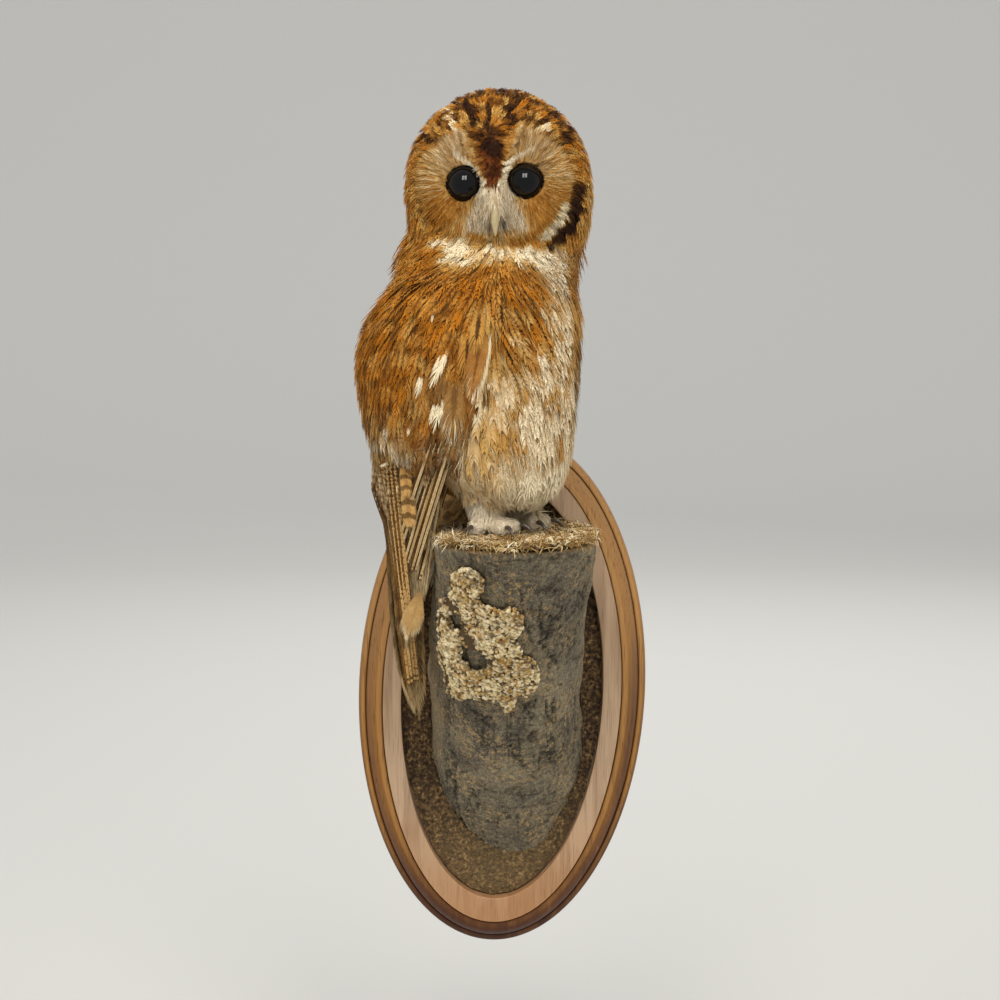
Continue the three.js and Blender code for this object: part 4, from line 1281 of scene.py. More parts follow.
def makeClaws():
    material, wire, shader = newMaterial("claw horn", {
        "Roughness": 0.30, "Coat Weight": 0.3, "Coat Roughness": 0.15})
    layers = wire.place().noise(420.0, 3.0, 0.6)
    connect(shader, BaseColor=layers.blend("1d1712", "5a4d3e"), Normal=layers.bumped(0.2, 0.0002))
    for name in (f"{side}_{toe}" for side, _ in sides for toe in range(1, 5)):
        claw = subdivided(mergedCopy("talon_" + name, "claw_" + name), 2)
        points = pointsOf(claw.data)  # its root end lies deeper in the toe's feathers
        root = points[np.argmax(points[:, 2])]
        setPoints(claw.data, root + (points - root) * 0.84)
        finished(claw, material, "claw", "claw_" + name)


makeClaws()
print("head and feet ready")

coatKinds = {  # millimetres, except barbs on each side, how loosely they lie and how much of the web they fill
    "forehead": {"spacing": 2.1, "length": (4.5, 6.5), "width": 1.3, "barbs": 5, "lift": 2.2, "loose": 0.45},
    "crown": {"spacing": 3.25, "length": (7.5, 11), "width": 2.3, "barbs": 7, "lift": 2.6, "loose": 0.34},
    "rim": {"spacing": 2.3, "length": (5.5, 8), "width": 1.4, "barbs": 5, "lift": 3.0, "loose": 0.40},
    "neck": {"spacing": 4.0, "length": (13, 19), "width": 2.7, "barbs": 8, "lift": 4.2, "loose": 0.50},
    "collar": {"spacing": 2.7, "length": (9, 14), "width": 1.6, "barbs": 7, "lift": 4.6, "loose": 0.85},
    "mantle": {"spacing": 4.9, "length": (16, 22), "width": 4.0, "barbs": 9, "lift": 4.2, "loose": 0.26},
    "wing": {"spacing": 4.3, "length": (13, 19), "width": 3.3, "barbs": 9, "lift": 3.1, "loose": 0.26},
    "breast": {"spacing": 4.5, "length": (17, 26), "width": 3.4, "barbs": 10, "lift": 4.2, "loose": 0.45,
               "solid": 0.95},
    "belly": {"spacing": 4.6, "length": (17, 26), "width": 3.6, "barbs": 10, "lift": 4.6, "loose": 0.8,
              "solid": 0.9},
}
strandKinds = {
    "face": {"spacing": 1.75, "length": (5.5, 10), "width": 0.21, "strands": 5, "lift": 2.0, "spread": 0.20},
    "bristle": {"spacing": 1.5, "length": (6, 10), "width": 0.19, "strands": 6, "lift": 3.2, "spread": 0.24},
    "fluff": {"spacing": 4.4, "length": (15, 26), "width": 0.30, "strands": 10, "lift": 5.8, "spread": 0.40},
    "wisp": {"spacing": 4.6, "length": (15, 26), "width": 0.26, "strands": 8, "lift": 5.8, "spread": 0.30},
    "leg": {"spacing": 2.3, "length": (7, 11), "width": 0.30, "strands": 8, "lift": 3.4, "spread": 0.35},
    "toe": {"spacing": 1.6, "length": (6, 10), "width": 0.26, "strands": 8, "lift": 3.0, "spread": 0.40},
}
traceSteps = 4
stations = (0.15, 0.55, 0.95)  # where along a feather its markings are taken
strandStations = (0.0, 0.38, 0.72, 1.0)
dice = np.random.default_rng(2207)


def bladeMesh(centres, halves, ridges):  # closed three-sided blades that run to a point
    count, rings = centres.shape[:2]
    body = rings - 1
    per = 3 * body + 1
    points = np.empty((count, per, 3))
    for corner, offset in enumerate((-halves, halves, ridges)):
        points[:, corner:3 * body:3] = centres[:, :body] + offset
    points[:, -1] = centres[:, -1]
    faces = [(0, 1, 2)]
    for a in range(0, 3 * body - 3, 3):
        b = a + 3
        faces += [(a, b + 1, a + 1), (a, b, b + 1), (a + 1, b + 1, b + 2), (a + 1, b + 2, a + 2),
                  (a, a + 2, b + 2), (a, b + 2, b)]
    a, tip = 3 * (body - 1), per - 1
    faces += [(a, tip, a + 1), (a + 1, tip, a + 2), (a, a + 2, tip)]
    triangles = (np.array(faces)[None] + np.arange(count)[:, None, None] * per).reshape(-1, 3)
    return points.reshape(-1, 3), triangles


def perVertex(ringValues):  # a value for each ring, as one for each vertex of the blades
    body = np.repeat(ringValues[:, :-1], 3, axis=1)
    return np.concatenate([body, ringValues[:, -1:]], axis=1).reshape((-1,) + ringValues.shape[2:])


def between(rows, q):  # rows of values along each feather or path, read at the fractional index q
    i = np.minimum(q.astype(int), rows.shape[1] - 2)
    f = (q - i)[..., None]
    each = np.arange(len(rows))[:, None]
    return mixed(rows[each, i], rows[each, i + 1], f)


def sampled(paths, s):  # places along many paths; beyond 1 they run straight on
    last = paths.shape[1] - 1
    on = between(paths, np.clip(s, 0, 1) * last)
    return on + np.maximum(s - 1, 0)[..., None] * ((paths[:, -1] - paths[:, -2]) * last)[:, None]


def sharesAt(shares, s):  # given once, or at the three stations of each feather; wanted at s
    if shares.ndim == 2:
        return np.broadcast_to(shares[:, None], s.shape + (5,))
    return between(shares, np.clip((s - stations[0]) / (stations[1] - stations[0]), 0, 2))


class Plumage:  # gathers blades, then makes them one object
    def __init__(self, name):
        self.name = name
        self.points, self.triangles, self.vane, self.shares, self.uv = [], [], [], [], []
        self.total = 0

    def add(self, centres, halves, ridges, s, t, own, shares, patch):
        points, triangles = bladeMesh(centres, halves, ridges)
        per = len(points) // len(centres)
        self.points.append(points)
        self.triangles.append(triangles + self.total)
        self.total += len(points)
        vs, vt = perVertex(s), perVertex(t)
        self.vane.append(np.c_[vs, vt, np.repeat(own, per)])
        self.shares.append(perVertex(shares) if shares.ndim == 3 else np.repeat(shares, per, axis=0))
        spread = np.c_[np.clip(vt, -1, 1), 2 * np.clip(vs, 0, 1) - 1]
        self.uv.append(np.clip(np.repeat(patch, per, axis=0) + 0.0015 * spread, 0, 1))

    def make(self, material, slot, *replacedNodes):
        shares = np.vstack(self.shares)
        fields = {"vane": np.vstack(self.vane), "marks": shares[:, :4], "warm": shares[:, 4]}
        points, triangles = np.vstack(self.points), np.vstack(self.triangles)
        obj = meshObject(self.name, points, triangles, False, fields, np.vstack(self.uv))
        return finished(obj, material, slot, *replacedNodes)


def bladeFrame(centres, normal, thick, ridge):  # half width and ridge of each ring but the last
    forward = unit(np.diff(centres, axis=1))
    return unit(np.cross(forward, normal)) * thick, normal * ridge


def stacked(*rings):  # one row of rings for each barb
    together = np.stack(rings, axis=2)
    return together.reshape((-1, len(rings)) + together.shape[3:])


def growFeathers(plumage, paths, normals, widths, lengths, barbs, loose, own, shares, patch,
                 sweep=36.0, solidness=0.72, farShares=None, shaftShares=None, rounded=False):
    count = len(paths)
    wide, long = widths[:, None], lengths[:, None]
    each = lambda v: np.repeat(v, barbs, axis=0)
    for side in (-1, 1):
        s0 = np.linspace(0.05, 0.93, barbs)[None] + dice.uniform(-0.5, 0.5, (count, barbs)) * 0.5 / barbs
        s0[:, -1] = 0.94
        full = np.sqrt(np.clip(1 - (np.maximum(s0 - 0.42, 0) / 0.66) ** 2, 0.03, 1))
        full = np.minimum(s0 / 0.26, 1) ** 0.55 * full
        reach = wide * full * (1 + loose * dice.uniform(-0.35, 0.25, (count, barbs)))
        slope = np.radians(sweep * (1 - 0.45 * s0) + loose * dice.uniform(-16, 16, (count, barbs)))
        s1 = s0 + np.minimum(reach / np.tan(np.maximum(slope, 0.16)) / long, 0.42)
        if rounded:  # the web closes in an arc a little beyond its shaft
            reach = reach * np.sqrt(1 - 0.99 * np.clip((s1 - 0.84) / 0.26, 0, 1) ** 2)
            s1 = np.minimum(s1, 1.10)
        sm = s0 + 0.42 * (s1 - s0)
        at, middle, tip = (sampled(paths, s) for s in (s0, sm, s1))
        n0, nm, n1 = (unit(sampled(normals, np.minimum(s, 1))) for s in (s0, sm, s1))
        low = np.minimum(s0, 0.9)
        out = side * unit(np.cross(unit(sampled(paths, low + 0.08) - sampled(paths, low)), n0))
        wild = loose * dice.normal(0, 0.13, (count, barbs))[..., None] * wide[..., None]
        middle = middle + out * (reach * 0.60)[..., None] + nm * wild * 0.4
        tip = tip + out * reach[..., None] + n1 * (wild - 0.10 * reach[..., None])
        thick = long / barbs * 0.9 * np.sin(np.maximum(slope, 0.25)) * solidness
        thick = stacked(thick, thick * 0.92)[..., None]
        centres = stacked(at, middle, tip)
        blade = bladeFrame(centres, stacked(n0, nm), thick, thick * 0.20 + 0.03 * mm)
        ringT = side * stacked(0 * reach, 0.62 * full, full)
        jitter = np.clip(each(own) + dice.normal(0, 0.06, count * barbs), 0, 1)
        web = shares if side < 0 or farShares is None else farShares
        ringShares = stacked(*(sharesAt(web, s) for s in (s0, sm, s1)))
        if shaftShares is not None:
            ringShares[:, 0] = each(shaftShares)
        plumage.add(centres, *blade, stacked(s0, sm, s1), ringT, jitter, ringShares, each(patch))
    s = np.tile((0.0, 0.35, 0.7, 1.06), (count, 1))
    centres = sampled(paths, s)
    normal = unit(sampled(normals, np.minimum(s[:, :3], 1)))
    thick = (wide * np.array((0.12, 0.10, 0.06)) + 0.10 * mm)[..., None]
    blade = bladeFrame(centres, normal, thick, thick * 0.45 + 0.05 * mm)
    centres[:, :3] += normal * 0.05 * mm
    plumage.add(centres, *blade, s, 0 * s, own, sharesAt(shares, s), patch)


def growStrands(plumage, paths, normals, widths, own, shares, patch):
    s = np.tile(strandStations, (len(paths), 1))
    centres = sampled(paths, s)
    normal = unit(sampled(normals, s[:, :-1]))
    thick = (widths[:, None] * np.linspace(1.0, 0.55, s.shape[1] - 1))[..., None]
    blade = bladeFrame(centres, normal, thick, thick * 0.7)
    # hairs are read from a quarter of the way along, so their roots take less of the painted shade
    plumage.add(centres, *blade, 0.24 + 0.76 * s, 0.75 + 0 * s, own, shares, patch)


def pickRoots(chosen, spacing):  # evenly spread places on those faces of the skin, at least so far apart
    sizes = faceSizes * chosen
    amount = int(sum(faceSizes[chosen > 0].tolist()) / spacing ** 2 * 9) + 10
    faces = dice.choice(len(sizes), amount, p=sizes / sizes.sum())
    share = dice.uniform(0, 0.98, (amount, 1))
    way = dice.uniform(0, 1, (amount, 1)) > 0.5
    first, fourth = skinPoints[skinCorners[:, faces]]
    places = faceMiddles[faces] + (np.where(way, first, fourth) - faceMiddles[faces]) * share
    tree = KDTree(amount)
    for index, place in enumerate(places):
        tree.insert(place, index)
    tree.balance()
    gone = np.zeros(amount, bool)
    kept = []
    for index in range(amount):
        if gone[index]:
            continue
        kept.append(index)
        for _, other, _ in tree.find_range(places[index], spacing):
            gone[other] = True
    return faces[kept], places[kept]


def trace(faces, roots, lengths, lifts, swing, rootLift=0.35 * mm, curve=0.85):
    # follows the lie of the coat over the skin, rising from it towards the tip
    first, fourth = skinCorners[:, faces]
    n = unit(skinNormals[first] + skinNormals[fourth])
    way = unit(across(skinWay[first] + skinWay[fourth], n))
    way = unit(way * np.cos(swing)[:, None] + np.cross(n, way) * np.sin(swing)[:, None])
    place = roots
    path = [place + n * rootLift]
    normals = [n]
    for step in range(1, traceSteps + 1):
        place, n2, face, _ = nearest(skinTree, place + way * (lengths / traceSteps)[:, None])
        first, fourth = skinCorners[:, face]
        n = unit(n2 + 0.6 * skinNormals[first] + 0.6 * skinNormals[fourth])
        way = unit(across(way * 0.72 + skinWay[first] * 0.28, n))
        path.append(place + n * (rootLift + lifts * (step / traceSteps) ** curve)[:, None])
        normals.append(n)
    paths = np.stack(path, axis=1)
    # a feather tilts back as it rises
    return paths, unit(across(np.stack(normals, axis=1), unit(np.gradient(paths, axis=1))))


def ownNumbers(count):
    return dice.uniform(0, 1, count)


def sharesAlong(places, faces):
    return np.stack([coatShares(places[:, k], faceLabel[faces]) for k in range(places.shape[1])], axis=1)


def coatRegion(plumage, kindName, chosen):
    kind = coatKinds[kindName]
    faces, roots = pickRoots(chosen, kind["spacing"] * mm)
    count = len(roots)
    lengths = dice.uniform(*kind["length"], count) * mm
    if kindName == "belly":  # shorter at the hem, so that the legs show
        lengths *= 0.42 + 0.58 * ramp(0.146, 0.172, roots[:, 2])
    lifts = kind["lift"] * mm * dice.uniform(0.55, 1.05, count)
    if kindName in ("neck", "crown"):  # fluffed out where the head meets the shoulders
        x, _, z = roots.T / mm
        lifts *= 1 + 0.9 * ramp(-22, -42, x) * spot(z, 299, 15) + 1.0 * ramp(28, 42, x) * spot(z, 308, 14)
    swing = dice.normal(0, 0.13 + 0.12 * kind["loose"], count) + (lumps(roots, 16 * mm, 71) - 0.5) * 0.55
    paths, normals = trace(faces, roots, lengths, lifts, swing)
    places = sampled(paths, np.tile(stations, (count, 1)))
    places = places + dice.normal(0, kind["spacing"] * 0.42 * mm, (count, 1, 3))
    shares = sharesAlong(places, faces)
    widths = kind["width"] * mm * dice.uniform(0.75, 1.2, count)
    growFeathers(plumage, paths, normals, widths, lengths, kind["barbs"], kind["loose"], ownNumbers(count),
                 shares, skinPatch[faces], solidness=kind.get("solid", 0.72))


def strandRegion(plumage, kindName, chosen, scale=None):
    kind = strandKinds[kindName]
    faces, roots = pickRoots(chosen, kind["spacing"] * mm)
    roots = np.repeat(roots, kind["strands"], axis=0)
    count = len(roots)
    roots = roots + dice.normal(0, kind["spacing"] * 0.28 * mm, (count, 3))
    roots, _, faces, _ = nearest(skinTree, roots)
    lengths = dice.uniform(*kind["length"], count) * mm
    if scale is not None:
        lengths = lengths * scale[faces]
    lifts = kind["lift"] * mm * dice.uniform(0.35, 1.1, count)
    swing = dice.normal(0, kind["spread"], count) + (lumps(roots, 9 * mm, 72) - 0.5) * 0.5
    paths, normals = trace(faces, roots, lengths, lifts, swing, 0.1 * mm, 1.0)
    shares = sharesAlong(sampled(paths, np.tile(strandStations, (count, 1))), faces)
    # each hair a little lighter or darker than the next
    shares[:, :, 0] += dice.normal(0, 0.13, (count, 1))
    shares[:, :, 1] += np.maximum(dice.normal(-0.08, 0.24, (count, 1)), 0)
    widths = kind["width"] * mm * dice.uniform(0.7, 1.4, count)
    growStrands(plumage, paths, normals, widths, ownNumbers(count), np.clip(shares, 0, 1), skinPatch[faces])


def coatPiece(name, slot, feathered=(), stranded=(), finish=coatFinish):
    plumage = Plumage(name)
    for entry in feathered:
        coatRegion(plumage, *entry)
    for entry in stranded:
        strandRegion(plumage, *entry)
    return plumage.make(finish, slot)


faceLabel = skinLabel[skinCorners[0]]
headAt = toHead(faceMiddles)
headX, headY, headZ = headAt.T
faceDepth, faceUp = faceMiddles[:, 1], faceMiddles[:, 2]
onHead, onNeck, onTrunk = (isPart(faceLabel, name) for name in ("head", "neck", "trunk"))
faceDisc = discShare(headAt) * onHead
eyeFar = np.maximum(fromEyes(headAt), 12.0 * (headY > -12))
billFar = np.hypot(headX - 0.5, headY + 44) + 1.2 * np.maximum(np.abs(headZ + 18) - 12, 0)
bodyAngle = np.degrees(np.arctan2(faceDepth + 0.103, faceMiddles[:, 0] + 0.016))
breastward = np.abs((bodyAngle + 40 + 180) % 360 - 180)
headOval = discOval(headAt)
onForehead = onHead & (headY < -22) & (headZ < 36) & (np.abs(headX) < 17) & (headZ > -6)
onRim = onHead & (headOval > 0.95) & (headOval < 1.11) & (headY < -14) & ~onForehead
onCrown = onHead & (faceDisc < 0.5) & (eyeFar > 12) & ~onForehead & ~onRim
onCollar = onNeck & (faceUp > 0.286) & (faceDepth < -0.118)
onFrontTrunk = onTrunk & (breastward <= 92)
isFace = (faceDisc > 0.4) & (eyeFar > 9.2) & (billFar > 4.6)
isBristle = isFace & (np.abs(headX - 0.5) < 12 - 0.25 * headZ) & (headZ < 3) & (headZ > -29)
faceScale = np.clip(0.36 + (eyeFar - 9.8) * 0.05, 0.32, 1.05)
hemScale = 0.40 + 0.60 * ramp(0.146, 0.172, faceUp)

coatPiece("coat_crown", "rufous", [("crown", onCrown),
                                   ("forehead", onForehead & (faceDisc < 0.6) & (eyeFar > 10.5))])
coatPiece("coat_face", "cream", [("rim", onRim)], [("face", isFace, faceScale), ("bristle", isBristle)])
coatPiece("coat_neck", "rufous", [("neck", onNeck & ~onCollar), ("collar", onCollar)], [("wisp", onCollar)])
coatPiece("coat_breast", "breast", [("breast", onFrontTrunk & (faceUp > 0.178))],
          [("wisp", onTrunk & (breastward < 80) & (faceUp > 0.18))])
coatPiece("coat_belly", "breast", [("belly", onFrontTrunk & (faceUp <= 0.178))],
          [("fluff", onTrunk & (breastward < 110) & (faceUp < 0.190), hemScale)])
coatPiece("coat_back", "rufous", [("mantle", onTrunk & (breastward > 92))])
for name, _ in sides:
    coatPiece("coat_wing_" + name, "rufous", [("wing", isPart(faceLabel, "wing_" + name))])
coatPiece("coat_legs", "cream", [], [("leg", isPart(faceLabel, "leg_right", "leg_left")),
                                     ("toe", isPart(faceLabel, "foot_right", "foot_left"))],
          coatMaterial("leg down", 0.4, colours=downColours))
print("coat ready")

# height, apart, behind, half width, half thickness
flightTables = {
    "right": [(43, 22, 57, 6, 2), (54, 22, 57, 9.5, 2.8), (78, 24, 55, 12, 3.4), (103, 28, 50, 14, 3.8),
              (128, 37.5, 43, 20.5, 4.4), (142, 43, 41, 27, 5), (160, 50, 38, 31, 5), (178, 57, 37, 25, 4.5)],
    "left": [(50, 19, 91, 5, 2), (60, 20, 90, 9, 2.8), (85, 24, 87, 12, 3.4), (110, 31, 80, 14, 4),
             (128, 37, 71, 16, 4.6), (144, 44, 58, 20, 5), (162, 51, 44, 27, 5), (178, 57, 39, 24, 4.5)],
}
# height, behind, half width, half thickness
tailTable = [(-3, 71, 3.5, 1.6), (3, 73.5, 9, 2.4), (12, 76.5, 12, 3), (39, 82, 14, 4), (64, 84.5, 15.5, 4.4),
             (90, 85, 17, 5), (115, 85, 19, 5.6), (140, 83, 21, 6.6), (165, 73, 22, 8)]
flightSizes = {"primaries": 11, "tailFeathers": 12, "steps": 12, "width": 5.4, "tailWidth": 6.2, "barbs": 44}
barredFinish = coatMaterial("flight feathers", 0.7, bars=8.0, colours=earthyColours)
stripedFinish = coatMaterial("striped feathers", 0.7, shaft=0.3, colours=earthyColours)
clearBars = coatMaterial("barred feather", 0.5, bars=4.0, shaft=0.15, colours=earthyColours)
# pale, dark, grey, streak and warm shares
webs = {
    "buff": (0.72, 0.0, 0.04, 0.45, 0.0), "pink": (0.78, 0.0, 0.10, 0.25, 0.0),
    "tan": (0.46, 0.0, 0.04, 0.30, 0.0), "brown": (0.20, 0.70, 0.08, 0.30, 0.0),
    "mid": (0.44, 0.20, 0.06, 0.80, 0.0), "deep": (0.10, 0.95, 0.05, 0.2, 0.0),
    "shaft": (0.10, 0.92, 0.10, 0.3, 0.0),
}
outerSurface = treeOf(skin.data, *(nodes[name].data for name in ("primaries_right", "primaries_left", "tail")))
viewDepth = -240  # millimetres, in front of the whole owl


def tableAt(rows, z):
    rows = np.array(rows, float)
    return np.stack([np.interp(z, rows[:, 0], rows[:, k]) for k in range(1, rows.shape[1])], axis=-1)


def varied(web, count, spread=0.07):
    swings = dice.normal(0, spread, (count, 5)) * (1, 0.7, 0.6, 0.6, 0.3)
    return np.clip(np.tile(webs[web], (count, 1)) + swings, 0, 1)


def patchesNear(places):
    return skinPatch[nearest(skinTree, places)[2]]


def bigFeathers(plumage, paths, normals, widths, barbs, loose, shares, farShares=None, sweep=25.0, solidness=0.78,
                shaftShares=None):
    lengths = np.linalg.norm(np.diff(paths, axis=1), axis=2).sum(axis=1)
    growFeathers(plumage, paths, normals, widths, lengths, barbs, loose, ownNumbers(len(paths)), shares,
                 patchesNear(paths[:, 0]), sweep, solidness, farShares, shaftShares, True)


def makePrimaries(name, side, tipZ):
    count, steps, barbs = flightSizes["primaries"], flightSizes["steps"], flightSizes["barbs"]
    plumage = Plumage("primary_feathers_" + name)
    paths = []
    for share in np.arange(count) / (count - 1):  # from the leading edge to the back one
        z = np.linspace(171, tipZ + 3 + 30 * (1 - share) ** 1.3 + dice.uniform(0, 4), steps)
        apart, behind, wide, thick = tableAt(flightTables[name], z).T
        x = side * (apart + thick * (-0.60 + 1.25 * share) - 4.2 * ramp(148, 170, z))
        y = behind + (-0.90 + 1.80 * share) * (wide - 2.6 - 7 * ramp(146, 170, z))
        paths.append(fromBody(np.c_[x, y, z]))
    paths = np.array(paths)
    normals = np.tile(unit(np.array((side, 0.10, 0.05)) @ bodyTurn.T), (count, steps, 1))
    widths = np.linspace(3.6, flightSizes["width"] + 0.8, count) * mm
    front, rear = varied("buff", count), varied("brown", count)
    front[: count // 3] = varied("pink", count // 3)
    if side > 0:  # the leading web is on the other hand
        front, rear = rear, front
    bigFeathers(plumage, paths, normals, widths, barbs, 0.07, front, rear, shaftShares=varied("shaft", count))
    # a second set closes the near face
    inner = paths - normals * (2.8 * mm * np.linspace(1, 0.3, steps))[None, :, None]
    bigFeathers(plumage, inner, -normals, widths * 1.1, barbs, 0.07, varied("mid", count))
    plumage.make(barredFinish, "flight", "primaries_" + name)


def makeTail():
    count, steps = flightSizes["tailFeathers"], flightSizes["steps"]
    plumage = Plumage("tail_feathers")
    for face, web in ((1, "mid"), (-1, "buff")):  # upper side, then under side
        paths, normals = [], []
        for u in -0.9 + 1.8 * np.arange(count) / (count - 1):
            z = np.linspace(168, -2.5 + 11 * abs(u) ** 1.5 + dice.uniform(0, 2), steps)
            behind, wide, thick = tableAt(tailTable, z).T
            y = behind + thick * (0.75 - 1.35 * abs(u)) - (0.9 if face < 0 else 0) - 10 * ramp(142, 166, z)
            paths.append(fromBody(np.c_[u * (wide - 3.4), y, z]))
            normals.append(np.tile(unit(np.array((0.25 * u * face, face, 0.0))), (steps, 1)) @ bodyTurn.T)
        widths = np.full(count, flightSizes["tailWidth"] * mm)
        bigFeathers(plumage, np.array(paths), np.array(normals), widths, flightSizes["barbs"], 0.08,
                    varied("buff", count), varied(web, count), shaftShares=varied("shaft", count))
    plumage.make(barredFinish, "flight", "tail")


makePrimaries("right", -1, 43)
makePrimaries("left", 1, 50)
makeTail()


def laidOver(tree, starts, ends, way, rises, bows, steps=8, deepest=5, passes=4):
    # paths from start to end, dropped that way onto the surface
    share = np.linspace(0, 1, steps)
    paths, normals = [], []
    for start, end, rise, bow in zip(starts, ends, rises, bows):
        aside = unit(np.cross(end - start, way))
        places, facing = [], []
        for s in share:
            origin = start + (end - start) * s + aside * bow * 4 * s * (1 - s)
            hit, normal, _, _ = tree.ray_cast(Vector(origin), Vector(way))
            if hit is not None and places and np.dot(np.array(hit) - places[-1], way) > deepest * mm:
                hit = None
            if hit is None:  # past the edge it hangs on straight
                step = places[-1] - places[-2] if len(places) > 1 else (end - start) / steps
                places.append(places[-1] + step if places else origin)
                facing.append(facing[-1] if facing else -way)
            else:
                places.append(np.array(hit))
                facing.append(np.array(normal))
        places, facing = np.array(places), np.array(facing)
        for _ in range(passes):
            places[1:-1] = 0.5 * places[1:-1] + 0.25 * (places[:-2] + places[2:])
        paths.append(places - np.outer(0.4 * mm + rise * share ** 0.7, way))
        normals.append(unit(facing * 0.4 + facing.mean(axis=0) - 0.8 * way))
    return np.array(paths), np.array(normals)


def inView(places):  # millimetres across and up, as a place in front of the owl
    return np.c_[places[:, 0], np.full(len(places), viewDepth), places[:, 1]] * mm


intoWall = np.array((0, 1.0, 0))
coverts = Plumage("coat_coverts")  # rows of feathers over the roots of the flight feathers
covertRows = ((177, 34, 15), (187, 32, 13), (198, 30, 12))  # height, length and number of each row
for name, side in sides:
    starts, ends, shareRows = [], [], []
    for top, drop, number in covertRows:
        for k in range(number):
            u = -0.88 + 1.58 * k / (number - 1) + dice.uniform(-0.05, 0.05)
            zTop = top + dice.uniform(-5, 5) + 10 * ramp(0.1, -0.5, u)
            zLow = zTop - drop - dice.uniform(-4, 8) + 10 * ramp(0.1, -0.5, u)
            for z, into in ((zTop, starts), (zLow, ends)):
                _, behind, wide, _ = tableAt(flightTables[name], z)
                into.append(fromBody(np.array((side * 120.0, behind + u * wide, z))))
            pale = dice.choice((0.20, 0.42, 0.62), p=(0.5, 0.3, 0.2))
            shareRows.append((pale, dice.uniform(0.0, 0.45), 0.22, 0.75, 0.0))
    count = len(starts)
    inwards = bodyTurn @ np.array((-side, 0.0, 0.0))
    rises = dice.uniform(1.2, 3.0, count) * mm
    paths, normals = laidOver(outerSurface, starts, ends, inwards, rises, dice.uniform(-1, 1, count) * mm)
    onWing = nearest(skinTree, paths[:, 0])[3] < 7 * mm  # those that miss the wing are left out
    paths, normals, shares = paths[onWing], normals[onWing], np.array(shareRows)[onWing]
    bigFeathers(coverts, paths, normals, dice.uniform(3.2, 4.6, len(paths)) * mm, 22, 0.18, shares)
coverts.make(barredFinish, "rufous")


def layStripes(plumage, number, starts, ends, width, rises, bow, web, darkWeb):
    # feathers side by side between two lines, with a broader dark one under each
    share = np.linspace(0, 1, number)[:, None]
    start, end = (inView(mixed(np.array(pair[0]), np.array(pair[1]), share)) for pair in (starts, ends))
    end[:, 2] += dice.uniform(-3, 3, number) * mm
    rise = (rises[0] + (rises[1] - rises[0]) * share[:, 0]) * mm
    paths, normals = laidOver(outerSurface, start, end, intoWall, rise, np.full(number, bow * mm), 16, 60, 14)
    paths[:, :, 1] -= 3.8 * mm * np.linspace(1, 0, 16)  # its root lies over the coat
    widths = np.full(number, width * mm)
    bigFeathers(plumage, paths, normals, widths, 60, 0.05, varied(web, number, 0.05), None, 20.0, 0.95)
    under = paths - np.array((0.5, -1.0, 0)) * mm
    darker = varied(darkWeb, number, 0.05)
    bigFeathers(plumage, under, normals, 2.2 * widths, 44, 0.05, darker, None, 24.0, 0.95)


stripes = Plumage("coat_fan")
layStripes(stripes, 7, ((-23.5, 187), (-43, 181)), ((-52.5, 89), (-67, 106)), 0.90, (4.6, 5.6), -0.6,
           "buff", "deep")
layStripes(stripes, 5, ((-66.5, 173), (-77.5, 170)), ((-54, 10), (-61, 14)), 0.95, (3.4, 4.6), 0.4,
           "tan", "brown")
stripes.make(stripedFinish, "flight")

laidWebs = {
    "dullBrown": (0.24, 0.16, 0.26, 0.50, 0), "oliveBrown": (0.22, 0.28, 0.26, 0.45, 0),
    "deepBrown": (0.16, 0.42, 0.2, 0.3, 0), "purest": (1.0, 0, 0.10, 0, 0), "creamy": (0.86, 0, 0.0, 0, 0),
    "goldBuff": (0.28, 0.06, 0.0, 0.9, 0), "paleGrey": (0.7, 0.1, 0.5, 0, 0), "midGrey": (0.6, 0.1, 0.5, 0, 0),
    "upperBars": (0.30, 0.0, 0.0, 0.95, 0.0), "lowerBars": (0.40, 0.0, 0.0, 1.0, 0.0),
    "oliveEdge": (0.80, 0.0, 0.15, 0.0, 0), "olive": (0.44, 0.10, 0.28, 0.1, 0),
}
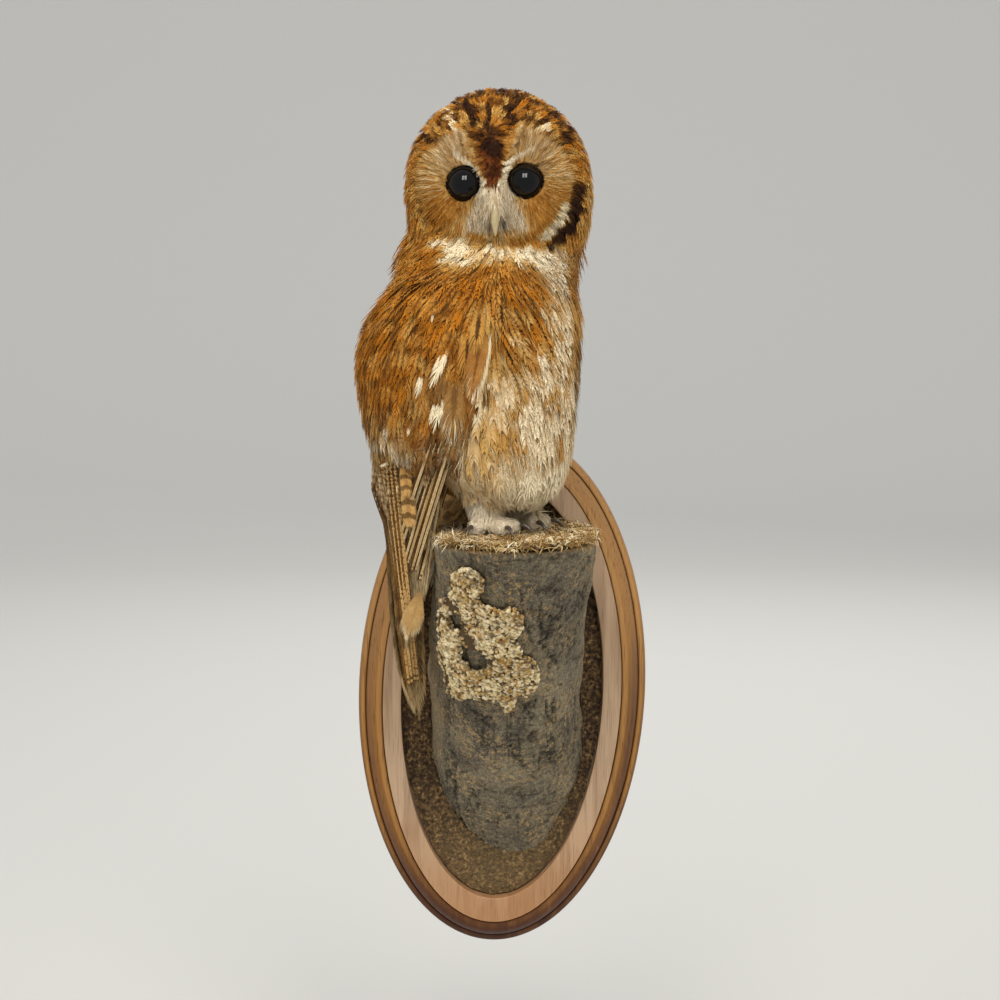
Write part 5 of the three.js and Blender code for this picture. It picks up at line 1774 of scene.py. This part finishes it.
# each row: across and up at its root, across and up at its tip, half width, rise, bow, web
laidPieces = {
    "coat_scapulars": (coatFinish, "rufous", [
        # broad ones on the front of the wing: each lies on a cream one that shows as its edge
        ((38, 0.10, 30.0, 0.92), [
            (-9.0, 264, -17.2, 211, 6.6, 6.4, 0.8, "creamy"),
             (-10.4, 264, -18.8, 213, 6.4, 7.0, 0.8, "dullBrown"),
            (-19, 262, -22.5, 224, 5.4, 4.6, 0.4, "goldBuff"),
             (-13, 266, -16.5, 238, 5.0, 6.6, 0.4, "goldBuff"),
            (-27, 228, -30.6, 185.4, 7.6, 4.8, 0.2, "creamy"),
             (-27, 228, -30.4, 187.0, 7.4, 5.6, 0.2, "oliveBrown"),
            (-19.5, 222, -22.5, 192, 5.0, 4.2, 0, "deepBrown"), (-36, 232, -37, 206, 4.4, 4.0, 0, "deepBrown"),
        ]),
        # white webs and ticks, then pale wisps lower down
        ((20, 0.30, 27.0, 0.66), [
            (-34.5, 240, -42.5, 217, 3.4, 5.0, 0.8, "purest"), (-32.5, 240, -39, 222, 2.2, 5.3, 0.6, "purest"),
            (-48.5, 225, -51.5, 210, 2.4, 4.6, 0.4, "purest"), (-36, 213, -41, 190, 2.8, 5.0, 0.6, "purest"),
            (-34.5, 213, -37, 198, 1.8, 5.3, 0.4, "purest"), (-40.5, 207, -43.5, 194, 1.7, 5.0, 0.3, "purest"),
            (-41, 263, -42, 255, 1.1, 3.8, 0, "creamy"), (-55, 197, -57, 186, 1.4, 4.2, 0, "creamy"),
            (-61, 173, -75, 164, 1.4, 5.6, 1.2, "purest"), (-63, 176, -71, 160, 1.2, 5.6, 0.8, "creamy"),
            (-66, 172, -61, 151, 1.4, 5.4, 0.8, "purest"), (-68, 168, -64.5, 150, 1.1, 5.2, 0.6, "creamy"),
            (-42, 97, -46, 78, 1.0, 3.0, 0.8, "paleGrey"), (-44, 95, -49, 76, 1.0, 3.0, 0.6, "paleGrey"),
            (-40, 92, -42, 74, 0.9, 3.0, 0.6, "midGrey"),
        ]),
    ]),
    "coat_barred_feather": (clearBars, "flight", [((40, 0.03, 40.0, 0.95), [
        (-60.5, 172, -58.5, 146, 4.4, 8.4, 0.4, "upperBars"),
        (-59.5, 160, -57.0, 126, 5.4, 9.6, 0.5, "lowerBars")])]),
    "coat_olive_feather": (coatFinish, "flight", [((36, 0.04, 48.0, 0.95), [
        (-52, 82, -60.0, 54.6, 7.4, 7.4, 0.6, "oliveEdge"),
        (-51.7, 83, -59.6, 56.6, 7.0, 8.2, 0.6, "olive")])]),
}
for name, (finish, slot, groups) in laidPieces.items():
    plumage = Plumage(name)
    for (barbs, loose, sweep, solidness), rows in groups:
        table = np.array([row[:7] for row in rows], float)
        shares = np.array([laidWebs[row[7]] for row in rows], float)
        paths, normals = laidOver(outerSurface, inView(table[:, :2]), inView(table[:, 2:4]), intoWall,
                                  table[:, 5] * mm, table[:, 6] * mm)
        bigFeathers(plumage, paths, normals, table[:, 4] * mm, barbs, loose, shares, None, sweep, solidness)
    plumage.make(finish, slot)

bristleSizes = {"count": 640, "length": (7, 11), "width": (0.13, 0.26), "share": (0.62, 0.10, 0.80, 0, 0)}


def makeBristles():  # they lean over the root of the bill
    size = bristleSizes
    count = size["count"]
    sideways = dice.choice((-1, 1), count)
    rootZ = dice.uniform(-15, 1.5, count)
    rootX = 1.0 + sideways * dice.uniform(np.where(rootZ > -9, 0.2, 2.6), 7.0)
    reach = dice.uniform(*size["length"], count)
    start = fromHead(np.c_[rootX, np.full(count, -90), rootZ])
    end = fromHead(np.c_[rootX + sideways * dice.uniform(0.6, 4.4, count), np.full(count, -90), rootZ - reach])
    rises = dice.uniform(0.4, 1.8, count) * mm
    surface = treeOf(skin.data, nodes["bill"].data)
    bows = dice.normal(0, 0.5, count) * mm
    paths, normals = laidOver(surface, start, end, headTurn @ intoWall, rises, bows, 6)
    shares = np.array(size["share"]) + dice.normal(0, 1, (count, 5)) * (0.16, 0.16, 0.05, 0, 0)
    plumage = Plumage("coat_bill_bristles")
    growStrands(plumage, paths, normals, dice.uniform(*size["width"], count) * mm, ownNumbers(count),
                np.clip(shares, 0, 1), patchesNear(paths[:, 0]))
    plumage.make(coatFinish, "cream")


makeBristles()
print("flight feathers ready")

mossSizes = {"strands": 5400, "length": (2.6, 8.0), "width": 0.30, "lift": 2.6, "steps": 5}


def mossMaterial():
    material, wire, shader = newMaterial("dry moss", {"Roughness": 0.9, "Specular IOR Level": 0.1})
    along = wire.field("vane", 1).axis(0)
    tone = along.other(2).ramped((0.0, "4a351c"), (0.35, "96733f"), (0.7, "cbb07c"), (1.0, "f4e6c6"))
    connect(shader, BaseColor=((1 - along.step(0.0, 0.5)) * 0.45).blend(tone, "3d2c17"))
    return material


def makeMoss():  # dry wisps round the feet and over the log's cut edge
    count, steps = mossSizes["strands"], mossSizes["steps"]
    mesh = nodes["lichen_top"].data
    areas = np.array([p.area for p in mesh.polygons])
    normals = np.array([p.normal for p in mesh.polygons])
    middles = np.array([p.center for p in mesh.polygons])
    front = ramp(-0.110, -0.150, middles[:, 1])
    side = ramp(0.020, 0.042, np.abs(middles[:, 0] - 0.008))
    onTop, onEdge = 0.45 + 0.9 * front + 0.5 * side, 1.6 * (normals[:, 1] < 0.2)
    weights = areas * np.where(normals[:, 2] > 0.3, onTop, onEdge) * (normals[:, 2] > -0.5)
    chosen = dice.choice(len(areas), count, p=weights / weights.sum())
    corners = pointsOf(mesh)
    rings = [corners[list(mesh.polygons[face].vertices)] for face in chosen]
    roots = np.array([dice.dirichlet(np.ones(len(ring))) @ ring for ring in rings])
    n = normals[chosen]
    tuft = lumps(roots, 6 * mm, 92)[:, None]
    way = unit(dice.normal(0, 1, (count, 3)) + n * 0.15 + np.array((0, -0.25, -0.10)))
    way = unit(way - n * np.sum(way * n, axis=1, keepdims=True) * 0.85)
    lengths = dice.uniform(*mossSizes["length"], count)[:, None] * mm
    rise = n * mossSizes["lift"] * mm * dice.uniform(0.1, 1.0, (count, 1)) * (0.4 + tuft)
    hanging = ramp(0.58, 0.70, lumps(roots, 11 * mm, 94))[:, None] * (n[:, 2:] < 0.4)
    sag = np.array((0, -0.12, -1.0)) * (dice.uniform(0, 2.6, (count, 1)) + 6 * hanging) * mm
    sag = sag * (1 - np.clip(n[:, 2:], 0, 1) * 0.8)
    curl = unit(np.cross(way, n)) * dice.normal(0, 1.5, (count, 1)) * mm
    paths = np.stack([roots + way * lengths * s + rise * math.sin(s * math.pi * 0.75) + (curl + sag) * s * s
                      for s in np.linspace(0, 1, steps)], axis=1)
    # nothing dips under the rim's own surface
    flat = paths.reshape(-1, 3)
    place, normal, _, _ = nearest(treeOf(mesh), flat)
    under = np.sum((flat - place) * normal, axis=1) < 0.15 * mm
    flat[under] = place[under] + normal[under] * 0.3 * mm
    moss = Plumage("moss_wisps")
    own = np.clip(dice.beta(1.3, 1.2, count) * (0.30 + 1.3 * lumps(roots, 6 * mm, 93)), 0, 1)
    widths = np.full(count, mossSizes["width"] * mm) * dice.uniform(0.6, 1.5, count)
    growStrands(moss, flat.reshape(count, steps, 3), np.repeat(n[:, None], steps, axis=1), widths, own,
                np.zeros((count, 5)), np.clip((roots[:, :2] + (0.05, 0.18)) * 7.5, 0.01, 0.99))
    moss.make(mossMaterial(), "lichen")


makeMoss()
print("moss ready")
